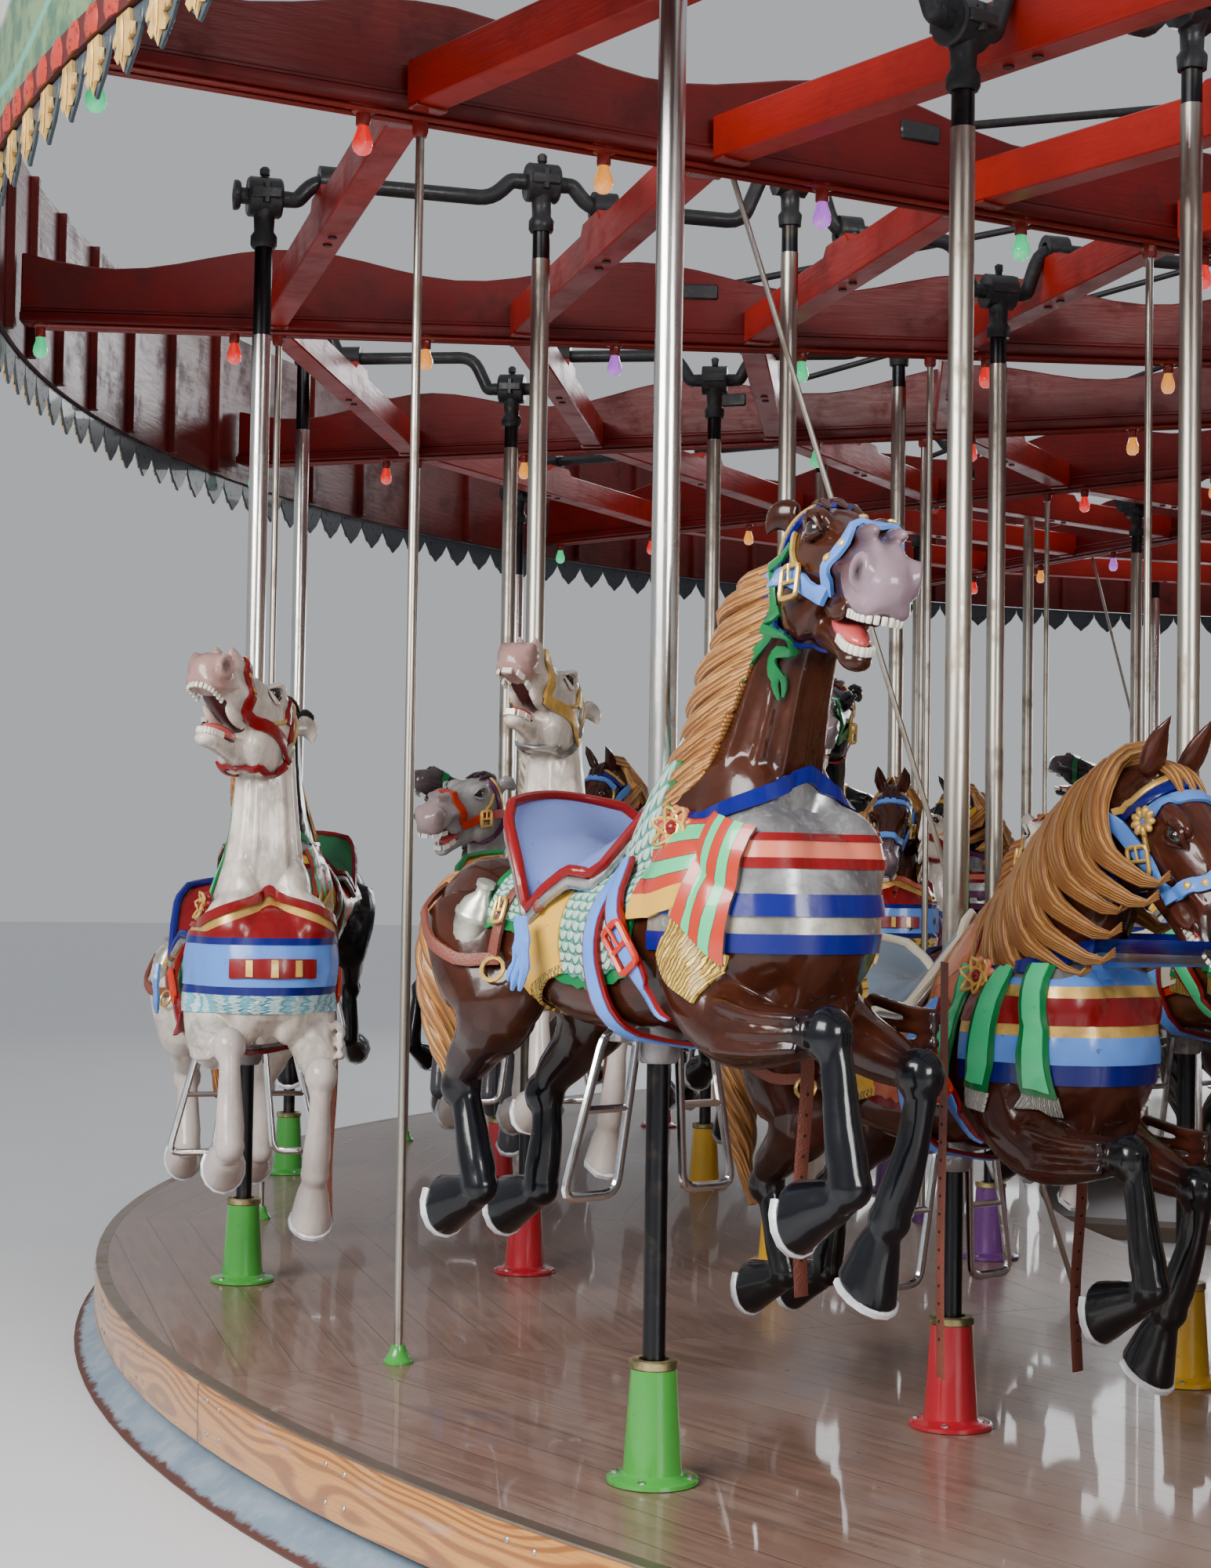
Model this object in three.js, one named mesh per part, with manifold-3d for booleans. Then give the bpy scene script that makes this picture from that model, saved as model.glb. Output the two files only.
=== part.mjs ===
// A park carousel of sixteen rows, four horses abreast, in millimetres with +Z up.
// The origin is on the ground at the axis of rotation. Row 1 stands half a bay
// anticlockwise of the X axis, and the other rows follow it clockwise.
import * as THREE from "three";
import Module from "manifold-3d";
import { mergeVertices } from "three/addons/utils/BufferGeometryUtils.js";

const wasm = await Module();
wasm.setup();

// The frame that everything is set out on.
const BAYS = 16;
const BAY_ANGLE = (2 * Math.PI) / BAYS;
const SEAT_GAP = 0.3;
const RING_FACETS = 48;
const MERGE_REACH = 1e-3;
// How far one piece runs into another that it is joined to.
const OVERLAP = 10;

// Heights above the ground.
const DECK_TOP = 240;
const DECK_THICK = 50;
const FASCIA_FOOT = 90;
const SWEEP_FOOT = DECK_TOP + 3120;
const CRANK_AXIS = DECK_TOP + 3300;
const RIM_FOOT = DECK_TOP + 3040;
const RIM_TOP = DECK_TOP + 3720;
const FRINGE_FOOT = DECK_TOP + 2910;
const HUB_TOP = 4780;
const HUB_CAP_FOOT = 4600;
const SILL_TOP = 60;
const SADDLE_TOP = 160;
const KERB_TOP = 75;

// Radii from the axis.
const DECK_OUTER = 6970;
const DECK_INNER = 3600;
const FASCIA_OUTER = 7000;
const RIM_INNER = 7405;
const RIM_OUTER = 7440;
const MAST_RADIUS = 130;
const MAST_FACETS = 16;
const SADDLE_RADIUS = 520;
const SADDLE_TOP_RADIUS = 420;
const KERB_INNER = 6860;
const KERB_OUTER = 7060;
const KERB_SLOPE_RUN = 110;
const HUB_RADIUS = 450;
const CROWN_RADIUS = 300;
const RING_RADII = [6590, 5730, 4910, 4180];
const OUTER_ROD_RADIUS = 6490;
const INNER_ROD_RADIUS = 4150;

// The sills, the housing round the mast and the turning head.
const SILL_WIDTH = 180;
const SILL_LINES = 4;
const HOUSING_RADIUS = 1900;
const HOUSING_CLEARANCE = 2;
const PLINTH_SETBACK = 60;
const PLINTH_HEIGHT = 120;
const WALL_TOP = 2880;
const EAVES_FOOT = 2940;
const EAVES_TOP = 3010;
const EAVES_REACH = 60;
const ROOF_TOP = 3110;
const SADDLE_CLEARANCE = 20;
const HUB_CLEARANCE = 12;
// The head's outer line from the foot of its disc to its top, as [radius, height].
const HUB_OUTLINE = [
  [HUB_RADIUS, SWEEP_FOOT - 60],
  [HUB_RADIUS, SWEEP_FOOT + 330],
  [220, SWEEP_FOOT + 420],
  [200, 4480],
  [CROWN_RADIUS, 4540],
  [CROWN_RADIUS, HUB_TOP - 60],
  [120, HUB_TOP],
  [0, HUB_TOP],
];

// Sweeps, the radial boards that carry the platform, and the stretchers between them.
const SWEEP_THICK = 80;
const SWEEP_DEPTH = 245;
const SWEEP_WAVE = 45;
const SWEEP_WAVE_PITCH = 1240;
const STRETCHER_WIDTH = 90;
const STRETCHER_DEPTH = 140;
const STRETCHER_SETBACK = 200;
const STRETCHER_FOOT = 2;
const STRETCHER_TENON = 30;
const BLOCK_LENGTH = 200;
const BLOCK_SLOPE = 20;
const ROD_DIAMETER = 23;
const ROD_FOOT_DIAMETER = 74;
const ROD_FOOT_TOP_DIAMETER = 32;
const ROD_FOOT_HEIGHT = 47;
const ROD_SIDES = 4;
const TIE_ROD_DIAMETER = 26;
const TIE_ROD_REACH = 5000;
const TIE_ROD_FOOT = SWEEP_FOOT + 150;
const TIE_ROD_HEAD = 4640;

// The rim and the fringe, each in four lengths.
const RIM_LENGTHS = 4;
const BEAD_REACH = 20;
const BEAD_HEIGHT = 70;
const CORNICE_REACH = 60;
const CORNICE_HEIGHT = 90;
const FRINGE_THICK = 20;

// Cranks, poles and pedestals.
const CRANK_THROW = 165;
const CRANK_BAR = 50;
const WEB_OFFSET = 75;
const WEB_CENTRE = WEB_OFFSET + CRANK_BAR / 2;
const CRANK_INNER_END = RING_RADII.at(-1) - 700;
const PIN_HALF = WEB_OFFSET - SEAT_GAP;
const HANGER_WIDTH = 110;
const HANGER_ABOVE = 70;
const HANGER_BELOW = 140;
const POLE_DIAMETER = 58;
const LOWER_POLE_DIAMETER = 46;
const POLE_STEP = 800;
const POLE_FOOT = 15;
const PEDESTAL_HEIGHT = 245;
const PEDESTAL_FOOT_DIAMETER = 186;
const PEDESTAL_TOP_DIAMETER = 100;
const PEDESTAL_BORE = 62;
const PEDESTAL_SIDES = 6;
const PLAIN_PEDESTAL_SIDES = 4;

// Where each row's crank has stopped, in degrees, and how far each ring leads it.
const CRANK_PHASES = [
  56, -22, 128, -60, 20, 100, -130, 40, -80, 150, 12, -45, 75, 165, -15, 110,
];
const RING_LEADS = [0, 180, 90, 270];
const MOVING_ROWS = [1, 2];

// The horses face +X about their pole, with heights above the platform and the crank halfway.
// Horses of the inner rings are smaller, and are scaled about their pole at this height.
const HORSE_SCALES = [1, 0.95, 0.88, 0.8];
const SCALE_LEVEL = 760;
// Stations of a horse: [forward, height, half width, half depth].
const TRUNK = [
  [-655, 985, 55, 60],
  [-530, 958, 190, 170],
  [-80, 938, 205, 178],
  [290, 982, 212, 212],
  [450, 1022, 165, 180],
  [530, 1040, 50, 60],
];
const NECK = [
  [180, 1100, 140, 195],
  [290, 1380, 104, 165],
  [425, 1710, 62, 88],
];
const HEAD = [
  [385, 1718, 50, 60],
  [530, 1662, 82, 94],
  [680, 1600, 54, 62],
  [822, 1540, 32, 34],
];
const TAIL = [
  [-625, 1015, 40, 45],
  [-768, 920, 60, 62],
  [-700, 545, 30, 32],
];
const JAW = [[505, 0, 1625], [655, 0, 1485], 52, 30];
// Each leg from the hip to the sole, on the left or the right of the pole.
const LEG_SPREAD = 125;
const NEAR_FORE = [[290, 875, 62, 95], [625, 812, 50, 54], [690, 548, 36, 42], [558, 482, 55, 66]];
const FAR_FORE = [[290, 850, 62, 95], [606, 712, 50, 54], [540, 445, 36, 42], [458, 312, 55, 66]];
const NEAR_HIND = [[-430, 900, 80, 150], [-503, 630, 46, 54], [-447, 415, 36, 42], [-572, 378, 55, 66]];
const FAR_HIND = [[-430, 890, 80, 150], [-522, 600, 46, 54], [-550, 388, 36, 42], [-678, 350, 55, 66]];
const LEGS = [
  { side: -1, stations: NEAR_FORE },
  { side: 1, stations: FAR_FORE },
  { side: -1, stations: NEAR_HIND },
  { side: 1, stations: FAR_HIND },
];
// The saddle from the side, from the foot of its cantle over the seat to the pommel.
const SADDLE = [[-395, 1080], [-370, 1250], [-215, 1150], [-60, 1150], [55, 1295], [70, 1080]];
const SADDLE_HALF_WIDTH = 115;
const PLAIN_BODY = [
  [-650, 980, 90, 95],
  [-375, 953, 215, 190],
  [430, 1008, 190, 210],
  [410, 1655, 84, 112],
  [805, 1545, 40, 46],
];
const PLAIN_LEG = { spread: 105, hip: 50, foot: 42 };
// One stirrup from the side, its opening, and the bracket that both hang from.
const STIRRUP = [[60, 770], [-60, 770], [-115, 470], [60, 470]];
const STIRRUP_OPENING = [[38, 748], [-42, 748], [-88, 492], [38, 492]];
const STIRRUP_THICK = 22;
const STIRRUP_INSIDE = 150;
const BRACKET = { half: 30, reach: 160, foot: 735, top: 768 };

const COLOURS = {
  steel: [0x4a4a48, 0.45, 0.9],
  timber: [0x5a4a3c, 0.7, 0.0],
  kerb: [0x5f7384, 0.6, 0.0],
  panel: [0x8a1f1c, 0.4, 0.0],
  sweep: [0x6d0f0c, 0.4, 0.0],
  deck: [0x6b5346, 0.3, 0.0],
  oak: [0xc07a2c, 0.4, 0.0],
  rim: [0xa02018, 0.45, 0.0],
  leaf: [0xd09a3a, 0.5, 0.3],
};
const COATS = [0x4a2a1c, 0xd8d2c8, 0x17171a, 0x6e3a20, 0x8a6a4a, 0x2a201c];
const COAT_GLOSS = 0.35;

// A closed three.js geometry as a solid, with its faces turned outwards.
function solid(geometry) {
  const bare = geometry.clone();
  for (const name of ["normal", "uv"]) bare.deleteAttribute(name);
  const merged = mergeVertices(bare, MERGE_REACH);
  const whole = [];
  for (let i = 0; i < merged.index.count; i += 3) {
    const [a, b, c] = [0, 1, 2].map((k) => merged.index.getX(i + k));
    if (a !== b && b !== c && c !== a) whole.push([a, b, c]);
  }
  const build = (faces) =>
    new wasm.Manifold(
      new wasm.Mesh({
        numProp: 3,
        vertProperties: merged.attributes.position.array,
        triVerts: new Uint32Array(faces.flat()),
      }),
    );
  const made = build(whole);
  return made.volume() < 0 ? build(whole.map(([a, b, c]) => [a, c, b])) : made;
}

function fuse(pieces) {
  return pieces.reduce((sum, piece) => sum.add(piece));
}

// A solid as a three.js geometry with flat faces.
function geometryOf(body) {
  const mesh = body.getMesh();
  const geometry = new THREE.BufferGeometry();
  geometry.setAttribute("position", new THREE.BufferAttribute(mesh.vertProperties, 3));
  geometry.setIndex(new THREE.BufferAttribute(mesh.triVerts, 1));
  return geometry;
}

function toPoints(pairs) {
  return pairs.map(([x, y]) => new THREE.Vector2(x, y));
}

function box(x0, x1, y0, y1, z0, z1) {
  const block = new THREE.BoxGeometry(x1 - x0, y1 - y0, z1 - z0);
  return block.translate((x0 + x1) / 2, (y0 + y1) / 2, (z0 + z1) / 2);
}

// An outline in the XZ plane, as wide as stated along Y and starting at the given Y.
function plate(outline, fromY, thick) {
  const shape = outline instanceof THREE.Shape ? outline : new THREE.Shape(toPoints(outline));
  const made = new THREE.ExtrudeGeometry(shape, { depth: thick, bevelEnabled: false });
  made.rotateX(Math.PI / 2);
  return made.translate(0, fromY + thick, 0);
}

// A tapered bar between two points.
function limb(start, end, startRadius, endRadius, sides) {
  const from = new THREE.Vector3(...start);
  const along = new THREE.Vector3(...end).sub(from);
  const bar = new THREE.CylinderGeometry(endRadius, startRadius, along.length(), sides, 1);
  bar.rotateY(Math.PI / sides);
  bar.translate(0, along.length() / 2, 0);
  bar.rotateX(Math.PI / 2);
  bar.rotateY(Math.atan2(along.x, along.z));
  const lean = Math.asin(along.y / along.length());
  const hinge = new THREE.Vector3(-along.z, 0, along.x).normalize();
  bar.applyMatrix4(new THREE.Matrix4().makeRotationAxis(hinge, lean));
  return bar.translate(...start);
}

// A ring about the Z axis from a closed section of [radius, height] points.
function ring(section, facets) {
  const turned = new THREE.LatheGeometry(toPoints([...section, section[0]]), facets);
  turned.rotateX(Math.PI / 2);
  return turned.rotateZ(Math.PI / facets);
}

// A flat sector between two radii, with straight facets, standing from z0 to z1.
function sector(inner, outer, fromBay, toBay, z0, z1) {
  const steps = (toBay - fromBay) * (RING_FACETS / BAYS);
  const outline = [];
  const addArc = (radius, order) => {
    for (const i of order) {
      const trim = SEAT_GAP / 2 / radius;
      const end = i === 0 ? trim : i === steps ? -trim : 0;
      const angle = (fromBay + (i * BAYS) / RING_FACETS) * BAY_ANGLE + end;
      outline.push([radius * Math.cos(angle), radius * Math.sin(angle)]);
    }
  };
  const order = Array.from({ length: steps + 1 }, (_, i) => i);
  addArc(outer, order);
  addArc(inner, order.reverse());
  const slab = new THREE.ExtrudeGeometry(new THREE.Shape(toPoints(outline)), {
    depth: z1 - z0,
    bevelEnabled: false,
  });
  return slab.translate(0, 0, z0);
}

function rowAngle(row) {
  return (1.5 - row) * BAY_ANGLE;
}

function liftOf(row, ringIndex) {
  const phase = THREE.MathUtils.degToRad(CRANK_PHASES[row - 1] + RING_LEADS[ringIndex]);
  return CRANK_THROW * Math.sin(phase);
}

// A bore round the mast, wide enough that its flat sides keep the clearance.
function mastBore(clearance) {
  return (MAST_RADIUS + clearance) / Math.cos(Math.PI / BAYS);
}

// Cross sills on the ground, from the mast out to the kerb.
function baseSills() {
  const reach = KERB_INNER * Math.cos(Math.PI / RING_FACETS) - SEAT_GAP;
  const half = SILL_WIDTH / 2;
  const arms = [];
  for (let i = 0; i < SILL_LINES; i += 1) {
    const beam = box(-reach, reach, -half, half, 0, SILL_TOP);
    arms.push(solid(beam.rotateZ((i * Math.PI) / SILL_LINES)));
  }
  return fuse(arms);
}

// The ring under the edge of the platform, with its sloping outer face.
function platformKerb() {
  const section = [
    [KERB_INNER, 0],
    [KERB_OUTER, 0],
    [KERB_OUTER - KERB_SLOPE_RUN, KERB_TOP],
    [KERB_INNER, KERB_TOP],
  ];
  return solid(ring(section, RING_FACETS));
}

// The fixed post in the middle, on a tapered foot that sits on the sills.
function centreMast() {
  const base = SILL_TOP + SEAT_GAP;
  const top = HUB_CAP_FOOT - SEAT_GAP;
  return fuse([
    solid(limb([0, 0, base], [0, 0, top], MAST_RADIUS, MAST_RADIUS, MAST_FACETS)),
    solid(limb([0, 0, base], [0, 0, SADDLE_TOP], SADDLE_RADIUS, SADDLE_TOP_RADIUS, MAST_FACETS)),
  ]);
}

// The closed housing round the mast, standing on the sills.
function centreHousing() {
  const bore = mastBore(HOUSING_CLEARANCE);
  const foot = SILL_TOP + SEAT_GAP;
  const overSaddle = SADDLE_TOP + SEAT_GAP;
  const plinth = HOUSING_RADIUS - PLINTH_SETBACK;
  const section = [
    [bore, overSaddle],
    [SADDLE_RADIUS + SADDLE_CLEARANCE, overSaddle],
    [SADDLE_RADIUS + SADDLE_CLEARANCE, foot],
    [plinth, foot],
    [plinth, foot + PLINTH_HEIGHT],
    [HOUSING_RADIUS, foot + PLINTH_HEIGHT],
    [HOUSING_RADIUS, WALL_TOP],
    [HOUSING_RADIUS + EAVES_REACH, EAVES_FOOT],
    [HOUSING_RADIUS + EAVES_REACH, EAVES_TOP],
    [bore, ROOF_TOP],
  ];
  return solid(ring(section, BAYS));
}

// The turning head: a sixteen-sided disc for the sweeps, a tube and a crown for the tie rods.
function hubSpider() {
  const bore = mastBore(HUB_CLEARANCE);
  const inside = [
    [0, HUB_CAP_FOOT],
    [bore, HUB_CAP_FOOT],
    [bore, HUB_OUTLINE[0][1]],
  ];
  return solid(ring([...HUB_OUTLINE, ...inside], BAYS));
}

// The wavy-topped board of one sweep, seen from the side, along the X axis.
function sweepBoard() {
  const start = HUB_RADIUS * Math.cos(BAY_ANGLE / 2) + SEAT_GAP;
  const end = RIM_INNER * Math.cos(Math.PI / RING_FACETS) - SEAT_GAP;
  const outline = [[start, 0], [end, 0], [end, SWEEP_DEPTH]];
  const halfPitch = SWEEP_WAVE_PITCH / 2;
  for (let x = end - halfPitch / 2, side = 1; x > start; x -= halfPitch, side = -side) {
    outline.push([x, SWEEP_DEPTH + side * SWEEP_WAVE]);
  }
  outline.push([start, SWEEP_DEPTH]);
  return plate(outline, -SWEEP_THICK / 2, SWEEP_THICK).translate(0, 0, SWEEP_FOOT);
}

// A thin rod from the sweep down to the platform, with its foot.
function hangerRod(radius) {
  const foot = DECK_TOP + SEAT_GAP;
  const rod = ROD_DIAMETER / 2;
  const wide = ROD_FOOT_DIAMETER / 2;
  const neck = ROD_FOOT_TOP_DIAMETER / 2;
  return [
    limb([radius, 0, foot], [radius, 0, SWEEP_FOOT + OVERLAP], rod, rod, ROD_SIDES),
    limb([radius, 0, foot], [radius, 0, foot + ROD_FOOT_HEIGHT], wide, neck, ROD_SIDES),
  ];
}

// The stretchers of the bay clockwise of a sweep, raised in the middle to carry the crankshaft.
function stretchers(carriesCrank) {
  const top = STRETCHER_DEPTH;
  const blockHalf = BLOCK_LENGTH / 2;
  const crankFoot = CRANK_AXIS - CRANK_BAR / 2 - SWEEP_FOOT;
  const seat = carriesCrank ? crankFoot + OVERLAP : crankFoot - SEAT_GAP;
  return RING_RADII.map((radius) => {
    const innerEdge = radius - STRETCHER_SETBACK - STRETCHER_WIDTH / 2;
    const boardFace = SWEEP_THICK / 2 / Math.cos(BAY_ANGLE / 2);
    const half = innerEdge * Math.tan(BAY_ANGLE / 2) - boardFace - SEAT_GAP;
    const outline = [
      [-half, STRETCHER_FOOT],
      [half + STRETCHER_TENON, STRETCHER_FOOT],
      [half + STRETCHER_TENON, top],
      [blockHalf, top],
      [blockHalf - BLOCK_SLOPE, seat],
      [BLOCK_SLOPE - blockHalf, seat],
      [-blockHalf, top],
      [-half, top],
    ];
    const bar = plate(outline, -STRETCHER_WIDTH, STRETCHER_WIDTH);
    return bar.rotateZ(Math.PI / 2).translate(innerEdge, 0, SWEEP_FOOT);
  });
}

// The steel rod from the crown of the hub down to the top of the sweep.
function tieRod() {
  const inner = CROWN_RADIUS * Math.cos(BAY_ANGLE / 2) + 5;
  const rod = TIE_ROD_DIAMETER / 2;
  const foot = [TIE_ROD_REACH, 0, TIE_ROD_FOOT];
  return limb(foot, [inner, 0, TIE_ROD_HEAD], rod, rod, ROD_SIDES);
}

// A square bar along X whose level changes at upright webs. Each step is [web centre, new level].
function crankBar(start, startLevel, steps, end) {
  const half = CRANK_BAR / 2;
  const lower = [[start, startLevel - half]];
  const upper = [[start, startLevel + half]];
  let level = startLevel;
  for (const [web, next] of steps) {
    const side = Math.sign(next - level) * half;
    lower.push([web + side, level - half], [web + side, next - half]);
    upper.push([web - side, level + half], [web - side, next + half]);
    level = next;
  }
  lower.push([end, level - half]);
  upper.push([end, level + half]);
  const corners = [...lower, ...upper.reverse()];
  const distinct = corners.filter(([x, z], i) => {
    const [lastX, lastZ] = corners.at(i - 1);
    return Math.abs(x - lastX) + Math.abs(z - lastZ) > MERGE_REACH;
  });
  return plate(distinct, -half, CRANK_BAR).translate(0, 0, CRANK_AXIS);
}

// The crankshaft of a moving row, in its lengths between the pins.
function crankLengths(row) {
  return RING_RADII.map((radius, i) => {
    const next = RING_RADII[i + 1];
    const outerStep = [radius - WEB_CENTRE, liftOf(row, i)];
    const end = radius - WEB_OFFSET;
    if (next === undefined) return crankBar(CRANK_INNER_END, 0, [outerStep], end);
    const innerStep = [next + WEB_CENTRE, 0];
    return crankBar(next + WEB_OFFSET, liftOf(row, i + 1), [innerStep, outerStep], end);
  });
}

// The whole crankshaft of a row that stands still.
function wholeCrank(row) {
  const steps = [];
  for (let i = RING_RADII.length - 1; i >= 0; i -= 1) {
    steps.push([RING_RADII[i] - WEB_CENTRE, liftOf(row, i)]);
    if (i > 0) steps.push([RING_RADII[i] + WEB_CENTRE, 0]);
  }
  return crankBar(CRANK_INNER_END, 0, steps, RING_RADII[0] + WEB_OFFSET);
}

// The hanger, pole and crank pin of one horse, with the pole running down to its foot.
function poleOf(radius, lift, poleFoot) {
  const pin = CRANK_AXIS + lift;
  const half = CRANK_BAR / 2;
  const head = HANGER_WIDTH / 2;
  const upper = POLE_DIAMETER / 2;
  const lower = LOWER_POLE_DIAMETER / 2;
  const step = DECK_TOP + lift + POLE_STEP;
  const poleTop = pin - HANGER_BELOW + OVERLAP;
  return [
    box(radius - PIN_HALF, radius + PIN_HALF, -half, half, pin - half, pin + half),
    box(radius - head, radius + head, -head, head, pin - HANGER_BELOW, pin + HANGER_ABOVE),
    limb([radius, 0, step], [radius, 0, poleTop], upper, upper, ROD_SIDES),
    limb([radius, 0, poleFoot], [radius, 0, step + OVERLAP], lower, lower, ROD_SIDES),
  ];
}

// A closed form through stations along a path in the XZ plane. Its flat-sided sections lie
// halfway between the inside and the outside of the ovals that the stations give.
function loft(stations, sides) {
  const swell = 2 / (1 + Math.cos(Math.PI / sides));
  const form = new THREE.CylinderGeometry(swell, swell, 1, sides, stations.length - 1);
  form.rotateY(Math.PI / sides);
  const place = form.getAttribute("position");
  for (let i = 0; i < place.count; i += 1) {
    const k = Math.round((0.5 - place.getY(i)) * (stations.length - 1));
    const [x, z, wide, deep] = stations[k];
    const before = stations[Math.max(k - 1, 0)];
    const after = stations[Math.min(k + 1, stations.length - 1)];
    const slope = Math.atan2(after[1] - before[1], after[0] - before[0]);
    const across = place.getX(i) * wide;
    const rise = place.getZ(i) * deep;
    place.setXYZ(i, x - rise * Math.sin(slope), across, z + rise * Math.cos(slope));
  }
  return form;
}

function carvedHorse() {
  const pieces = [loft(TRUNK, 6), loft(NECK, 4), loft(HEAD, 4), loft(TAIL, 3), limb(...JAW, 3)];
  for (const { side, stations } of LEGS) {
    pieces.push(loft(stations, 4).translate(0, side * LEG_SPREAD, 0));
  }
  pieces.push(plate(SADDLE, -SADDLE_HALF_WIDTH, 2 * SADDLE_HALF_WIDTH));
  return fuse(pieces.map(solid));
}

function plainHorse() {
  const pieces = [loft(PLAIN_BODY, 4)];
  for (const { side, stations } of LEGS) {
    const [hip, knee, , sole] = stations;
    const start = [hip[0], side * PLAIN_LEG.spread, hip[1]];
    const end = [(knee[0] + sole[0]) / 2, side * LEG_SPREAD, sole[1]];
    pieces.push(limb(start, end, PLAIN_LEG.hip, PLAIN_LEG.foot, 3));
  }
  return fuse(pieces.map(solid));
}

// A stirrup loop as a flat frame, leaning back, with its inner face at the given Y.
function stirrup(fromY) {
  const frame = new THREE.Shape(toPoints(STIRRUP));
  frame.holes.push(new THREE.Path(toPoints(STIRRUP_OPENING)));
  return plate(frame, fromY, STIRRUP_THICK);
}

// Foot bracket under the belly with its two stirrup loops.
function stirrups() {
  const { half, reach, foot, top } = BRACKET;
  const bar = box(-half, half, -reach, reach, foot, top);
  const loops = [stirrup(STIRRUP_INSIDE), stirrup(-STIRRUP_INSIDE - STIRRUP_THICK)];
  return fuse([bar, ...loops].map(solid));
}

const MOVING_PATTERN = carvedHorse().add(stirrups());
const STANDING_PATTERN = plainHorse();

// A horse turned to face anticlockwise on its ring, at its ring's scale.
function placedHorse(pattern, ringIndex, lift) {
  const scale = HORSE_SCALES[ringIndex];
  const turned = pattern.rotate([0, 0, 90]).scale([scale, scale, scale]);
  const rise = SCALE_LEVEL * (1 - scale);
  return turned.translate([RING_RADII[ringIndex], 0, DECK_TOP + lift + rise]);
}

function pedestal(radius, sides) {
  const foot = PEDESTAL_FOOT_DIAMETER / 2;
  const top = PEDESTAL_TOP_DIAMETER / 2;
  const base = DECK_TOP + SEAT_GAP;
  return limb([radius, 0, base], [radius, 0, DECK_TOP + PEDESTAL_HEIGHT], foot, top, sides);
}

// A bay of the platform whose four pedestals are bored for telescoping poles.
function boredDeckBay(row) {
  const angle = rowAngle(row);
  const from = angle / BAY_ANGLE - 0.5;
  const slab = sector(DECK_INNER, DECK_OUTER, from, from + 1, DECK_TOP - DECK_THICK, DECK_TOP);
  const bore = PEDESTAL_BORE / 2 / Math.cos(Math.PI / PEDESTAL_SIDES);
  const above = DECK_TOP + PEDESTAL_HEIGHT + OVERLAP;
  let bay = solid(slab);
  for (const radius of RING_RADII) {
    const stand = pedestal(radius, PEDESTAL_SIDES).translate(0, 0, -2 * SEAT_GAP);
    const drill = limb([radius, 0, 0], [radius, 0, above], bore, bore, PEDESTAL_SIDES);
    bay = bay.add(solid(stand.rotateZ(angle)));
    bay = bay.subtract(solid(drill.rotateZ(angle)));
  }
  return bay;
}

// A row that stands still: crankshaft, poles, pedestals and four horses in one piece.
function fixedRow(row) {
  const pieces = [solid(wholeCrank(row))];
  RING_RADII.forEach((radius, i) => {
    const lift = liftOf(row, i);
    const half = POLE_DIAMETER / 2;
    const foot = DECK_TOP + PEDESTAL_HEIGHT - OVERLAP;
    const head = CRANK_AXIS + lift + CRANK_BAR / 2 - SEAT_GAP;
    pieces.push(solid(limb([radius, 0, foot], [radius, 0, head], half, half, ROD_SIDES)));
    pieces.push(solid(pedestal(radius, PLAIN_PEDESTAL_SIDES)));
    pieces.push(placedHorse(STANDING_PATTERN, i, lift));
  });
  return fuse(pieces).rotate([0, 0, THREE.MathUtils.radToDeg(rowAngle(row))]);
}

// A horse that slides on its pole, with its hanger and crank pin.
function movingHorse(row, ringIndex) {
  const lift = liftOf(row, ringIndex);
  const foot = POLE_FOOT + DECK_TOP + lift;
  const pieces = poleOf(RING_RADII[ringIndex], lift, foot).map(solid);
  pieces.push(placedHorse(MOVING_PATTERN, ringIndex, lift));
  return fuse(pieces).rotate([0, 0, THREE.MathUtils.radToDeg(rowAngle(row))]);
}

// One sweep with its rods, tie rod, stretchers and, under a moving row, the crank lengths.
function sweep(number) {
  const row = (number % BAYS) + 1;
  const moving = MOVING_ROWS.includes(row);
  const toRow = -BAY_ANGLE / 2;
  const pieces = [sweepBoard(), tieRod()];
  pieces.push(...hangerRod(OUTER_ROD_RADIUS), ...hangerRod(INNER_ROD_RADIUS));
  for (const bar of stretchers(moving)) pieces.push(bar.rotateZ(toRow));
  if (moving) {
    for (const length of crankLengths(row)) pieces.push(length.rotateZ(toRow));
  }
  const turn = THREE.MathUtils.radToDeg((1 - number) * BAY_ANGLE);
  return fuse(pieces.map(solid)).rotate([0, 0, turn]);
}

// A ring as lengths that meet end to end with a seat gap between them.
function inLengths(section) {
  const whole = solid(ring(section, RING_FACETS));
  const reach = RIM_OUTER + 2 * CORNICE_REACH;
  const gap = SEAT_GAP / 2;
  return Array.from({ length: RIM_LENGTHS }, (_, i) => {
    const corner = solid(box(gap, reach, gap, reach, 0, RIM_TOP + OVERLAP));
    return whole.intersect(corner.rotate([0, 0, (i * 360) / RIM_LENGTHS]));
  });
}

// The painted boards round the top, with the bead rail at their foot and a cornice.
function rimBoards() {
  return inLengths([
    [RIM_INNER, RIM_FOOT],
    [RIM_OUTER + BEAD_REACH, RIM_FOOT],
    [RIM_OUTER + BEAD_REACH, RIM_FOOT + BEAD_HEIGHT],
    [RIM_OUTER, RIM_FOOT + BEAD_HEIGHT + 10],
    [RIM_OUTER, RIM_TOP - CORNICE_HEIGHT],
    [RIM_OUTER + CORNICE_REACH, RIM_TOP],
    [RIM_INNER, RIM_TOP],
  ]);
}

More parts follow.
